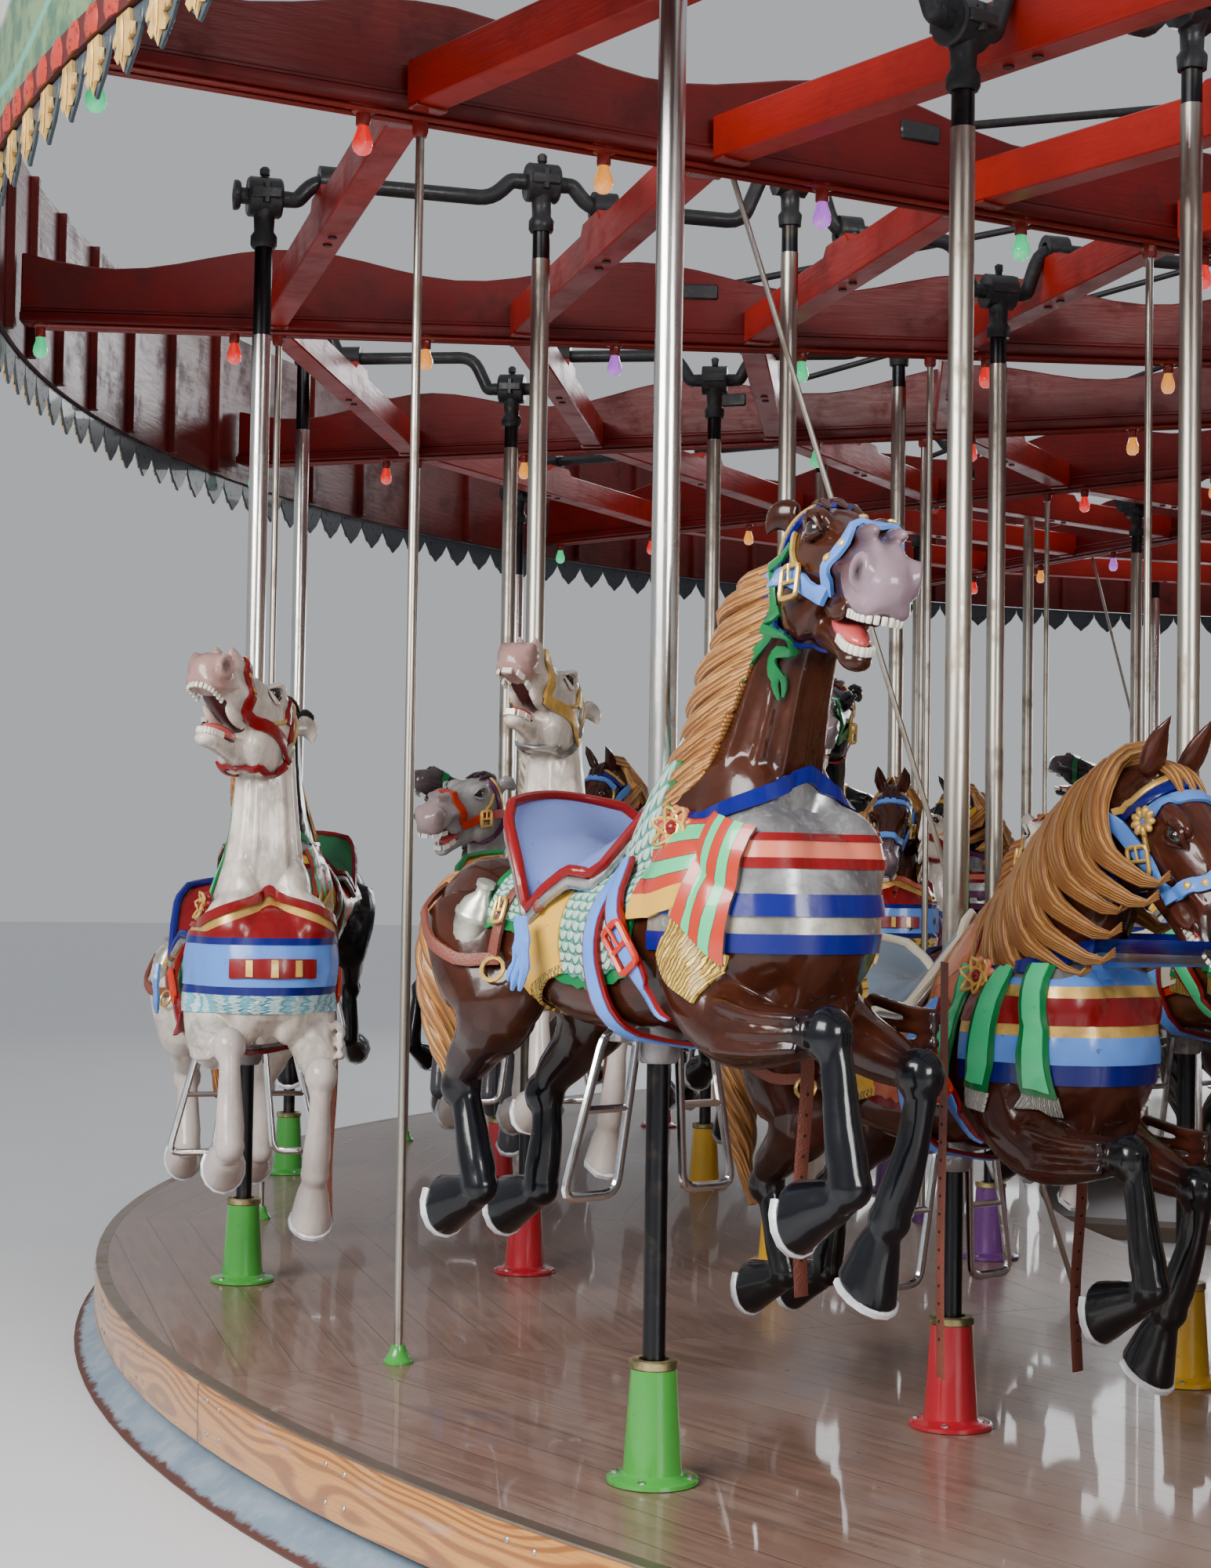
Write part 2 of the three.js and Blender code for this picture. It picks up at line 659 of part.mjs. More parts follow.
function rimFringe() {
  const top = RIM_FOOT - SEAT_GAP;
  return inLengths([
    [RIM_OUTER - FRINGE_THICK, FRINGE_FOOT],
    [RIM_OUTER, FRINGE_FOOT],
    [RIM_OUTER, top],
    [RIM_OUTER - FRINGE_THICK, top],
  ]);
}

function deckFascia() {
  const inner = DECK_OUTER + SEAT_GAP;
  const section = [
    [inner, FASCIA_FOOT],
    [FASCIA_OUTER, FASCIA_FOOT],
    [FASCIA_OUTER, DECK_TOP],
    [inner, DECK_TOP],
  ];
  return solid(ring(section, RING_FACETS).rotateZ(Math.PI / RING_FACETS));
}

const carousel = new THREE.Group();

function addPiece(parent, name, body, [colour, roughness, metalness]) {
  const material = new THREE.MeshStandardMaterial({ color: colour, roughness, metalness });
  material.flatShading = true;
  const mesh = new THREE.Mesh(geometryOf(body), material);
  mesh.name = name;
  parent.add(mesh);
}

const twoDigits = (number) => String(number).padStart(2, "0");
const coatOf = (number) => [COATS[number % COATS.length], COAT_GLOSS, 0];

const ground = new THREE.Group();
const turntable = new THREE.Group();
carousel.add(ground, turntable);

addPiece(ground, "base_sills", baseSills(), COLOURS.timber);
addPiece(ground, "platform_kerb", platformKerb(), COLOURS.kerb);
addPiece(ground, "centre_mast", centreMast(), COLOURS.steel);
addPiece(ground, "centre_housing", centreHousing(), COLOURS.panel);
addPiece(turntable, "hub_spider", hubSpider(), COLOURS.steel);
for (let number = 1; number <= BAYS; number += 1) {
  addPiece(turntable, "sweep_" + twoDigits(number), sweep(number), COLOURS.sweep);
}
const plainBays = BAYS - MOVING_ROWS.length;
const deckFoot = DECK_TOP - DECK_THICK;
const mainDeck = sector(DECK_INNER, DECK_OUTER, 1, 1 + plainBays, deckFoot, DECK_TOP);
addPiece(turntable, "deck_main", solid(mainDeck), COLOURS.deck);
for (const row of MOVING_ROWS) {
  addPiece(turntable, "deck_bay_" + twoDigits(row), boredDeckBay(row), COLOURS.deck);
}
addPiece(turntable, "deck_fascia", deckFascia(), COLOURS.oak);
rimBoards().forEach((length, i) => addPiece(turntable, "rim_boards_" + (i + 1), length, COLOURS.rim));
rimFringe().forEach((length, i) => addPiece(turntable, "rim_fringe_" + (i + 1), length, COLOURS.leaf));
for (let row = 1; row <= BAYS; row += 1) {
  if (MOVING_ROWS.includes(row)) {
    RING_RADII.forEach((_, i) => {
      const name = "horse_" + twoDigits(row) + "_" + (i + 1);
      addPiece(turntable, name, movingHorse(row, i), coatOf(row + i));
    });
  } else {
    addPiece(turntable, "horse_row_" + twoDigits(row), fixedRow(row), coatOf(row));
  }
}

export default carousel;
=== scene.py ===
"""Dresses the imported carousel: carved horses, poles and cranks, red sweeps, lamps, rim and platform."""

import math
import random

import bmesh
import bpy
import numpy as np
from mathutils import Matrix, Vector
from mathutils.bvhtree import BVHTree


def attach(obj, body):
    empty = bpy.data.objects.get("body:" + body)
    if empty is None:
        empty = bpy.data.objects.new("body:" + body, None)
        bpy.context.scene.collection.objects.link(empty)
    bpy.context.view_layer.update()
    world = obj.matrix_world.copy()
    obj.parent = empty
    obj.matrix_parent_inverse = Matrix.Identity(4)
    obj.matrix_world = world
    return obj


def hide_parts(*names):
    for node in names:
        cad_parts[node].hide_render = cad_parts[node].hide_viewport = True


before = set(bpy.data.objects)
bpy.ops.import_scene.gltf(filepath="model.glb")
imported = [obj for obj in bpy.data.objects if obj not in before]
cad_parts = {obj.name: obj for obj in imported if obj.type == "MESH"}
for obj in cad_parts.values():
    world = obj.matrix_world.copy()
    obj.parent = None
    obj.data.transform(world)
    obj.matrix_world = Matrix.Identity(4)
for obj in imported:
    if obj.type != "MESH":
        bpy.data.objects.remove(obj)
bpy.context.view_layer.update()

# The setting-out of the machine, in metres, as in the part's source.
BAYS = 16
BAY = 2 * math.pi / BAYS
DECK_TOP = 0.240
DECK_THICK = 0.050
DECK_INNER = 3.600
DECK_OUTER = 6.970
FASCIA_OUTER = 7.000
SWEEP_FOOT = 3.360
CRANK_AXIS = 3.540
CRANK_THROW = 0.165
RIM_FOOT = 3.280
RIM_TOP = 3.960
RIM_INNER = 7.405
RIM_OUTER = 7.440
RINGS = [6.590, 5.730, 4.910, 4.180]
OUTER_ROD = 6.490
INNER_ROD = 4.150
HORSE_SCALES = [1.0, 0.95, 0.88, 0.80]
PHASES = [56, -22, 128, -60, 20, 100, -130, 40, -80, 150, 12, -45, 75, 165, -15, 110]
LEADS = [0, 180, 90, 270]
MOVING_ROWS = (1, 2)
NEAR_HORSES = {(1, 1), (2, 1), (1, 2)}
FINE_ROWS = (1, 2, 3, 16)
MIDDLE_HORSES = {(3, 1), (1, 3), (2, 2), (1, 4), (2, 3), (16, 1), (3, 2)}

X, Y, Z = Vector((1, 0, 0)), Vector((0, 1, 0)), Vector((0, 0, 1))
FULL_TURN = 2 * math.pi
RING_SIDES = 192
NAIL_PAIRS = 64
BEADS = 352
LEAVES = 240
# The rim boards' painted face and the plane behind it, as radii.
RIM_FACE = 7.4395
RIM_BACK = 7.412


def row_angle(row):
    return (1.5 - row) * BAY


def lift_of(row, ring):
    return CRANK_THROW * math.sin(math.radians(PHASES[row - 1] + LEADS[ring - 1]))


def turned(angle):
    return Matrix.Rotation(angle, 4, "Z")


# Lays an upright shape down along X.
ALONG_X = Matrix.Rotation(math.pi / 2, 4, "Y")


def at(x, y=0.0, z=0.0):
    return Matrix.Translation((x, y, z))


def sized(x, y, z):
    return Matrix.Diagonal((x, y, z, 1))


def axes(across, up, along, origin=(0, 0, 0)):
    """The matrix that takes X, Y and Z to these directions from an origin."""
    made = Matrix((across, up, along)).transposed().to_4x4()
    made.translation = origin
    return made


# Finishes.


class Wire:
    """A node's output. Arithmetic on it adds Math nodes to its finish."""

    def __init__(self, finish, socket):
        self.finish, self.socket = finish, socket

    def math(self, operation, first, *others):
        return self.finish.node("Math", {"operation": operation}, dict(enumerate((first, *others))))

    def __add__(self, other):
        return self.math("ADD", self, other)

    def __sub__(self, other):
        return self.math("SUBTRACT", self, other)

    def __rsub__(self, other):
        return self.math("SUBTRACT", other, self)

    def __mul__(self, other):
        return self.math("MULTIPLY", self, other)

    def __truediv__(self, other):
        return self.math("DIVIDE", self, other)

    def __pow__(self, other):
        return self.math("POWER", self, other)

    __radd__ = __add__
    __rmul__ = __mul__

    def fn(self, operation, *others):
        return self.math(operation, self, *others)

    def over(self, edge, soft=0.05):
        """0 below the edge, 1 above it, with a soft step."""
        return self.finish.node(
            "MapRange",
            {"interpolation_type": "SMOOTHSTEP"},
            {"Value": self, "From Min": edge - soft, "From Max": edge + soft},
        )

    def between(self, low, high, soft=0.01):
        return self.over(low, soft) * (1 - self.over(high, soft))


class Finish:
    """A paint, metal, wood or leather with its nodes."""

    def __init__(self, name, colour, roughness=0.4, metallic=0.0, coat=0.0):
        self.material = bpy.data.materials.new(name)
        self.material.use_nodes = True
        self.tree = self.material.node_tree
        self.shader = self.tree.nodes["Principled BSDF"]
        self.colour = colour
        self.put("Base Color", colour)
        self.put("Roughness", roughness)
        self.put("Metallic", metallic)
        self.put("Coat Weight", coat)
        self.put("Coat Roughness", 0.04)
        self.material.diffuse_color = (*colour, 1)

    def put(self, socket, value):
        self.link(self.shader.inputs[socket], value)

    def link(self, socket, value):
        if isinstance(value, Wire):
            self.tree.links.new(value.socket, socket)
        elif socket.type == "RGBA" and len(value) == 3:
            socket.default_value = (*value, 1)
        else:
            socket.default_value = value

    def node(self, kind, settings=None, inputs=None, output=0):
        made = self.tree.nodes.new("ShaderNode" + kind)
        for name, value in (settings or {}).items():
            if name == "stops":
                ramp = made.color_ramp
                while len(ramp.elements) < len(value):
                    ramp.elements.new(0.5)
                for element, (place, colour) in zip(ramp.elements, value):
                    element.position = place
                    element.color = (*colour, 1)
            else:
                setattr(made, name, value)
        for key, value in (inputs or {}).items():
            self.link(made.inputs[key], value)
        return Wire(self, made.outputs[output])

    def place(self):
        return self.node("TexCoord", output="Object")

    def sheet(self):
        return self.node("TexCoord", output="UV")

    def attribute(self, name):
        return self.node("Attribute", {"attribute_name": name}, output="Vector")

    def parts(self, vector):
        split = self.node("SeparateXYZ", None, {0: vector})
        outputs = split.socket.node.outputs
        return [Wire(self, outputs[i]) for i in range(3)]

    def joined(self, x, y, z):
        return self.node("CombineXYZ", None, {0: x, 1: y, 2: z})

    def stretched(self, vector, scale):
        return self.node("VectorMath", {"operation": "MULTIPLY"}, {0: vector, 1: scale})

    def noise(self, vector, scale, detail=3.0, roughness=0.55, twist=0.0):
        inputs = {"Vector": vector, "Scale": scale, "Detail": detail, "Roughness": roughness}
        inputs["Distortion"] = twist
        return self.node("TexNoise", None, inputs)

    def cells(self, vector, scale, feature="F1", output="Distance"):
        return self.node("TexVoronoi", {"feature": feature}, {"Vector": vector, "Scale": scale}, output)

    def mix(self, mask, first, second):
        made = self.node("Mix", {"data_type": "RGBA"}, {0: mask, 6: first, 7: second}, 2)
        return made

    def bump(self, height, distance, strength=1.0):
        inputs = {"Height": height, "Distance": distance, "Strength": strength}
        self.put("Normal", self.node("Bump", None, inputs))


def shade(colour, share):
    return tuple(min(1.0, max(0.0, c * share)) for c in colour)


def paint(name, colour, roughness=0.26, coat=0.16, wear=0.10, brush=0.0006):
    """Gloss enamel on wood or iron: slight unevenness, a few small chips to a darker ground."""
    made = Finish(name, colour, roughness, 0.0, coat)
    made.put("Specular IOR Level", 0.34)
    spot = made.place()
    cloud = made.noise(spot, 5.0, 3)
    chips = made.noise(spot, 46.0, 4, 0.65).over(0.74 - wear * 0.5, 0.012)
    body = made.mix(cloud, shade(colour, 0.72), shade(colour, 1.10))
    made.put("Base Color", made.mix(chips, body, shade(colour, 0.45)))
    made.put("Roughness", cloud * 0.16 + chips * 0.35 + (roughness - 0.08))
    made.bump(made.noise(spot, 24.0, 2) - chips * 0.5, brush)
    return made.material


def leafed(name, colour, roughness=0.34, metallic=0.75):
    """Metal leaf or metal paint laid over carving, mottled where it is rubbed."""
    made = Finish(name, colour, roughness, metallic, 0.25)
    spot = made.place()
    patches = made.noise(spot, 9.0, 5, 0.62, 0.6)
    rub = made.noise(spot, 60.0, 3).over(0.60, 0.08)
    body = made.mix(patches.over(0.5, 0.22), shade(colour, 0.62), shade(colour, 1.18))
    made.put("Base Color", made.mix(rub * 0.5, body, shade(colour, 0.5)))
    made.put("Roughness", patches * 0.30 + (roughness - 0.10))
    made.put("Metallic", metallic - rub * 0.4)
    made.bump(patches, 0.0012)
    return made.material


def coat_paint(name, colour, legs, muzzle, dapple=0.0):
    """Gloss coat of a carved horse: brushed colour, dark or pale legs, soft muzzle, worn edges, painted shade in
    nostrils and ears.
    """
    made = Finish(name, colour, 0.24, 0.0, 0.26)
    made.put("Specular IOR Level", 0.26)
    spot = made.attribute("carving")
    socks, nose, deep = made.parts(made.attribute("zones"))
    streaks = made.noise(made.stretched(spot, (3.0, 9.0, 5.0)), 2.2, 5, 0.6, 0.4)
    cloud = made.noise(spot, 2.6, 3)
    body = made.mix(streaks.over(0.5, 0.24), shade(colour, 0.55), shade(colour, 1.35))
    body = made.mix(cloud.over(0.56, 0.2) * 0.55, body, shade(colour, 0.62))
    if dapple:
        spots = made.cells(spot, 13.0).over(0.34, 0.16)
        body = made.mix(spots * dapple, body, shade(colour, 0.72))
    body = made.mix(socks, body, made.mix(streaks, shade(legs, 0.7), shade(legs, 1.4)))
    body = made.mix(nose, body, made.mix(cloud.over(0.5, 0.14), shade(muzzle, 0.50), shade(muzzle, 1.15)))
    # deep is painted shade: the coat goes near black in the nostril pits and, fainter, in the ear hollows.
    body = made.mix(deep, body, shade(colour, 0.12))
    scuffs = made.noise(spot, 33.0, 5, 0.7).over(0.735, 0.015)
    made.put("Base Color", made.mix(scuffs * 0.6, body, shade(muzzle, 0.9)))
    made.put("Roughness", streaks * 0.14 + scuffs * 0.3 + 0.14)
    made.bump(made.noise(made.stretched(spot, (1.0, 1.6, 1.2)), 14.0, 3) + streaks * 0.4, 0.0010)
    return made.material


def hair_paint(name, light, dark):
    """Carved hair: grooves and streaks along each lock, with painted shade deepening the grooves."""
    made = Finish(name, light, 0.34, 0.0, 0.15)
    across, along, _ = made.parts(made.sheet())
    lines = made.noise(made.joined(across * 16.0, along * 3.0, 0.0), 2.4, 5, 0.62, 0.3)
    drift = made.noise(made.place(), 9.0, 3)
    grooves = (across * 44.0 + lines * 5.0).fn("SINE") * 0.5 + 0.5
    body = made.mix(lines.over(0.47, 0.13), dark, light)
    body = made.mix(drift.over(0.55, 0.12) * 0.45, body, shade(dark, 1.3))
    # Painted shade: the colour darkens toward the bottom of each groove.
    made.put("Base Color", made.mix((1 - grooves) * 0.75, body, shade(dark, 0.40)))
    made.put("Roughness", 0.46 - lines * 0.16)
    made.bump(grooves + lines * 1.2, 0.0030)
    return made.material


def scale_paint(name, colour, line):
    """A blanket carved as overlapping fish scales, painted and rubbed silver at the tips, with painted highlight and
    shade on each scale.
    """
    made = Finish(name, colour, 0.36, 0.0, 0.2)
    u, v, _ = made.parts(made.sheet())
    down = (v - 0.5).fn("ABSOLUTE") * 38.0
    row = down.fn("FLOOR")
    shift = (row * 0.5).fn("FRACT")
    x = (u * 19.0 + shift).fn("FRACT") - 0.5
    y = down.fn("FRACT")
    reach = (x * x * 2.6 + y * y).fn("SQRT")
    edge = reach.over(0.86, 0.10)
    cloud = made.noise(made.place(), 26.0, 4)
    # Painted highlight and shade: each scale lighter at its raised middle, darker toward its edge.
    body = made.mix(reach * 0.9, shade(colour, 1.15), shade(colour, 0.66))
    body = made.mix(cloud.over(0.52, 0.10) * 0.55, body, (0.60, 0.62, 0.60))
    made.put("Base Color", made.mix(edge, body, line))
    made.bump((1 - reach) * 0.8 - edge, 0.006)
    return made.material


def striped_paint(name, colours, count, along=1, slant=0.0, line=(0.05, 0.04, 0.03)):
    """Flat painted stripes with a thin dark line between them."""
    made = Finish(name, colours[0], 0.27, 0.0, 0.45)
    parts = made.parts(made.sheet())
    phase = (parts[along] + parts[1 - along] * slant) * float(count)
    step = (phase / float(len(colours))).fn("FRACT") * float(len(colours))
    tone = colours[0]
    for i, colour in enumerate(colours[1:], 1):
        tone = made.mix(step.over(float(i), 0.01), tone, colour)
    edge = 1 - ((phase.fn("FRACT") - 0.5).fn("ABSOLUTE") * -1 + 0.5).over(0.022, 0.008)
    cloud = made.noise(made.place(), 7.0, 3)
    tone = made.mix(cloud * 0.35, tone, made.mix(0.5, tone, (0.02, 0.02, 0.02)))
    made.put("Base Color", made.mix(edge, tone, line))
    made.put("Roughness", cloud * 0.2 + 0.18)
    made.bump(cloud - edge * 0.5, 0.0012)
    return made.material


def fringe_paint(name, colour, dark):
    """Carved fringe: uneven upright cords with dark gaps, the gaps painted in as shade."""
    made = Finish(name, colour, 0.36, 0.20, 0.2)
    u, v, _ = made.parts(made.sheet())
    wave = made.noise(made.joined(u * 3.0, v * 1.2, 0.0), 4.0, 2)
    cords = ((u * 105.0) + wave * 9.0).fn("SINE") * 0.5 + 0.5
    thin = ((u * 260.0) + wave * 22.0).fn("SINE") * 0.5 + 0.5
    lit = cords * 0.7 + thin * 0.3
    # Painted shade: dark in the gaps between the cords, full colour on the raised cords.
    made.put("Base Color", made.mix(lit.over(0.42, 0.26), dark, colour))
    made.bump(lit, 0.0060)
    return made.material


def polished(name, colour, low=0.10, high=0.32, grime=0.35, stretch=(30, 30, 1.2)):
    """Bright metal with drawn streaks and a little grime."""
    made = Finish(name, colour, low, 1.0)
    spot = made.place()
    streaks = made.noise(made.stretched(spot, stretch), 3.0, 4, 0.6)
    dirt = made.noise(spot, 7.0, 5, 0.65).over(0.60, 0.10) * grime
    made.put("Base Color", made.mix(dirt, made.mix(streaks, shade(colour, 0.8), colour), (0.20, 0.15, 0.09)))
    made.put("Roughness", streaks * (high - low) + dirt * 0.3 + low)
    made.bump(streaks, 0.0004)
    return made.material


def iron(name, colour=(0.018, 0.018, 0.020)):
    """Oiled black iron: greasy patches and dust."""
    made = Finish(name, colour, 0.45, 0.35)
    spot = made.place()
    oil = made.noise(spot, 6.0, 5, 0.6)
    dust = made.noise(spot, 34.0, 4, 0.7).over(0.62, 0.08)
    body = made.mix(oil, colour, shade(colour, 2.2))
    made.put("Base Color", made.mix(dust * 0.5, body, (0.10, 0.075, 0.055)))
    made.put("Roughness", 0.62 - oil.over(0.5, 0.15) * 0.34 + dust * 0.2)
    made.bump(made.noise(spot, 70.0, 3), 0.0012)
    return made.material


def beam_paint(name, colour, grime=0.5):
    """Old red enamel on timber: brush marks, soot in patches, scrapes to darker wood."""
    made = Finish(name, colour, 0.30, 0.0, 0.0)
    made.put("Specular IOR Level", 0.28)
    spot = made.place()
    cloud = made.noise(spot, 1.7, 5, 0.6)
    marks = made.noise(made.stretched(spot, (1.0, 1.0, 9.0)), 7.0, 4, 0.6)
    soot = made.noise(spot, 5.0, 6, 0.68).over(0.57, 0.10) * grime
    chips = made.noise(spot, 60.0, 4, 0.7).over(0.73, 0.012)
    body = made.mix(cloud.over(0.5, 0.3), shade(colour, 0.62), shade(colour, 1.22))
    body = made.mix(soot, body, shade(colour, 0.30))
    made.put("Base Color", made.mix(chips, body, (0.30, 0.16, 0.12)))
    made.put("Roughness", marks * 0.25 + soot * 0.3 + 0.24)
    made.bump(marks + cloud - chips, 0.0015)
    return made.material


def bay_coordinates(made):
    """Along and across the platform's bay, in metres, and the angle round the axis."""
    x, y, z = made.parts(made.place())
    angle = y.fn("ARCTAN2", x)
    middle = ((angle / BAY).fn("FLOOR") + 0.5) * BAY
    cos, sin = middle.fn("COSINE"), middle.fn("SINE")
    return x * cos + y * sin, y * cos - x * sin, z, angle, middle


def deck_wood(name):
    """Varnished boards, worn grey-brown by feet, with scuffs and darker joints."""
    made = Finish(name, (0.26, 0.17, 0.125), 0.22, 0.0, 0.22)
    out, side, _, _, middle = bay_coordinates(made)
    board = (out / 0.135).fn("FLOOR")
    tint = made.node("TexWhiteNoise", {"noise_dimensions": "2D"}, {"Vector": made.joined(board, middle, 0.0)})
    grain = made.noise(made.joined(out * 26.0, side * 1.6, board * 7.3), 1.6, 6, 0.62, 0.7)
    wear = made.noise(made.place(), 1.15, 5, 0.62)
    body = made.mix(grain.over(0.5, 0.22), (0.088, 0.043, 0.029), (0.212, 0.122, 0.088))
    body = made.mix(tint * 0.28, body, (0.185, 0.088, 0.060))
    body = made.mix(wear.over(0.53, 0.16) * 0.55, body, (0.275, 0.200, 0.170))
    seam = (((out / 0.135).fn("FRACT") - 0.5).fn("ABSOLUTE")).over(0.488, 0.006)
    trod = made.noise(made.place(), 34.0, 5, 0.75).over(0.665, 0.03)
    streak = made.noise(made.joined(out * 5.0, side * 0.8, 2.0), 5.0, 5, 0.7).over(0.63, 0.05)
    body = made.mix(trod * 0.5 + streak * 0.30, body, (0.075, 0.050, 0.042))
    made.put("Base Color", made.mix(seam * 0.5, body, (0.030, 0.022, 0.020)))
    made.put("Roughness", wear * 0.34 + grain * 0.14 + trod * 0.25 + 0.14)
    made.bump(grain * 0.5 - seam * 1.5 - trod * 0.5, 0.0014)
    return made.material


def oak_wood(name):
    """Golden oak bent round the platform, with arched figure, end joints and scuffs."""
    made = Finish(name, (0.55, 0.27, 0.075), 0.30, 0.0, 0.45)
    x, y, z = made.parts(made.place())
    length = y.fn("ARCTAN2", x) * FASCIA_OUTER
    height = z - 0.165
    plank = (length / 2.749).fn("FLOOR")
    warp = made.noise(made.joined(length * 0.55, z * 2.0, plank * 3.1), 1.5, 2)
    arch = height * height * 95.0 + (length * 0.9 + plank * 1.7).fn("SINE") * 0.35 + warp * 4.0
    rings = ((arch + height * 6.0) * 20.0).fn("SINE") * 0.5 + 0.5
    fibre = made.noise(made.joined(length * 2.0, z * 90.0, plank), 2.0, 5, 0.65)
    body = made.mix(rings.over(0.62, 0.30), (0.50, 0.220, 0.052), (0.250, 0.088, 0.018))
    body = made.mix(fibre.over(0.54, 0.12) * 0.45, body, (0.25, 0.10, 0.028))
    scuff = made.noise(made.joined(length * 1.2, z * 9.0, 4.0), 2.6, 6, 0.72).over(0.60, 0.06)
    body = made.mix(scuff * 0.3, body, (0.40, 0.31, 0.33))
    joint = (((length / 2.749).fn("FRACT") - 0.5).fn("ABSOLUTE")).over(0.4988, 0.0006)
    made.put("Base Color", made.mix(joint, body, (0.05, 0.025, 0.012)))
    made.put("Roughness", fibre * 0.2 + scuff * 0.3 + 0.16)
    made.bump(fibre * 0.6 - joint * 2.0 - rings * 0.2, 0.0012)
    return made.material


def kerb_coat(name):
    """Grey-blue painted iron, paler near its outer edge from rub wear and a painted highlight, and rusty along its
    foot.
    """
    made = Finish(name, (0.21, 0.29, 0.37), 0.45, 0.1)
    spot = made.place()
    _, _, z = made.parts(spot)
    rust = made.noise(spot, 16.0, 6, 0.7)
    foot = (rust * 0.028 + 0.001 - z).over(0.0, 0.004)
    # rub: paler patches on the outer slope below 0.052 m, rub wear together with a painted highlight where light falls
    # on the slope.
    rub = made.noise(spot, 8.0, 5, 0.65).over(0.52, 0.10) * (1 - z.over(0.052, 0.012))
    body = made.mix(made.noise(spot, 4.0, 4), (0.13, 0.19, 0.26), (0.27, 0.35, 0.43))
    body = made.mix(rub * 0.28, body, (0.48, 0.53, 0.58))
    made.put("Base Color", made.mix(foot, body, (0.085, 0.030, 0.022)))
    made.put("Roughness", rust * 0.3 + foot * 0.3 + 0.22)
    made.bump(rust, 0.003)
    return made.material


def timber(name, colour):
    made = Finish(name, colour, 0.7)
    spot = made.place()
    grain = made.noise(made.stretched(spot, (3.0, 3.0, 12.0)), 2.0, 6, 0.65, 0.5)
    made.put("Base Color", made.mix(grain, shade(colour, 0.55), shade(colour, 1.3)))
    made.put("Roughness", grain * 0.3 + 0.5)
    made.bump(grain, 0.003)
    return made.material


def panel_art(name):
    """Rim panels: soft painted land and sky with plain leafy scrolls, made up for this rim."""
    made = Finish(name, (0.35, 0.45, 0.42), 0.38, 0.0, 0.25)
    x, y, z = made.parts(made.place())
    length = y.fn("ARCTAN2", x) * RIM_OUTER
    height = (z - RIM_FOOT) / (RIM_TOP - RIM_FOOT)
    drift = made.noise(made.joined(length * 0.7, z * 2.0, 1.0), 1.3, 5, 0.6)
    hills = made.noise(made.joined(length * 0.8, 0.0, 3.0), 1.0, 3)
    sky = made.mix(drift.over(0.5, 0.2), (0.33, 0.44, 0.47), (0.70, 0.66, 0.54))
    slope = (height * -1.0 + hills * 0.75 + 0.18).over(0.0, 0.03)
    field = made.mix(made.noise(made.place(), 9.0, 5, 0.7).over(0.5, 0.1), (0.045, 0.13, 0.07), (0.16, 0.26, 0.12))
    tone = made.mix(slope, sky, field)
    swirl = ((length * 4.0).fn("SINE") * 0.09 + 0.30 - height).fn("ABSOLUTE")
    scroll = (1 - swirl.over(0.020, 0.012)) * 0.8
    tone = made.mix(scroll, tone, (0.10, 0.42, 0.33))
    made.put("Base Color", tone)
    made.put("Roughness", drift * 0.2 + 0.30)
    made.bump(drift + scroll * 0.5, 0.001)
    return made.material


def lamp_glass(name, colour, glow):
    """Coloured lamp, brighter where the filament shows through."""
    made = Finish(name, colour, 0.12, 0.0, 0.6)
    _, _, z = made.parts(made.place())
    band = z.between(3.215, 3.262, 0.02)
    made.put("Emission Color", made.mix(band, shade(colour, 0.8), tuple(min(1, c * 0.85 + 0.12) for c in colour)))
    made.put("Emission Strength", glow)
    made.put("Base Color", made.mix(made.noise(made.place(), 60.0, 2), shade(colour, 0.8), colour))
    return made.material


def leather(name, colour):
    made = Finish(name, colour, 0.5)
    spot = made.place()
    grain = made.cells(spot, 260.0)
    cloud = made.noise(spot, 8.0, 5, 0.65)
    made.put("Base Color", made.mix(cloud, shade(colour, 0.55), shade(colour, 1.4)))
    made.put("Roughness", cloud * 0.3 + 0.32)
    made.bump(grain, 0.0012)
    return made.material


def worn_brass(name):
    made = Finish(name, (0.30, 0.25, 0.11), 0.38, 0.85)
    spot = made.place()
    rub = made.noise(spot, 22.0, 5, 0.65)
    made.put("Base Color", made.mix(rub.over(0.5, 0.16), (0.13, 0.12, 0.055), (0.50, 0.40, 0.20)))
    made.put("Roughness", 0.55 - rub * 0.25)
    made.bump(rub, 0.001)
    return made.material


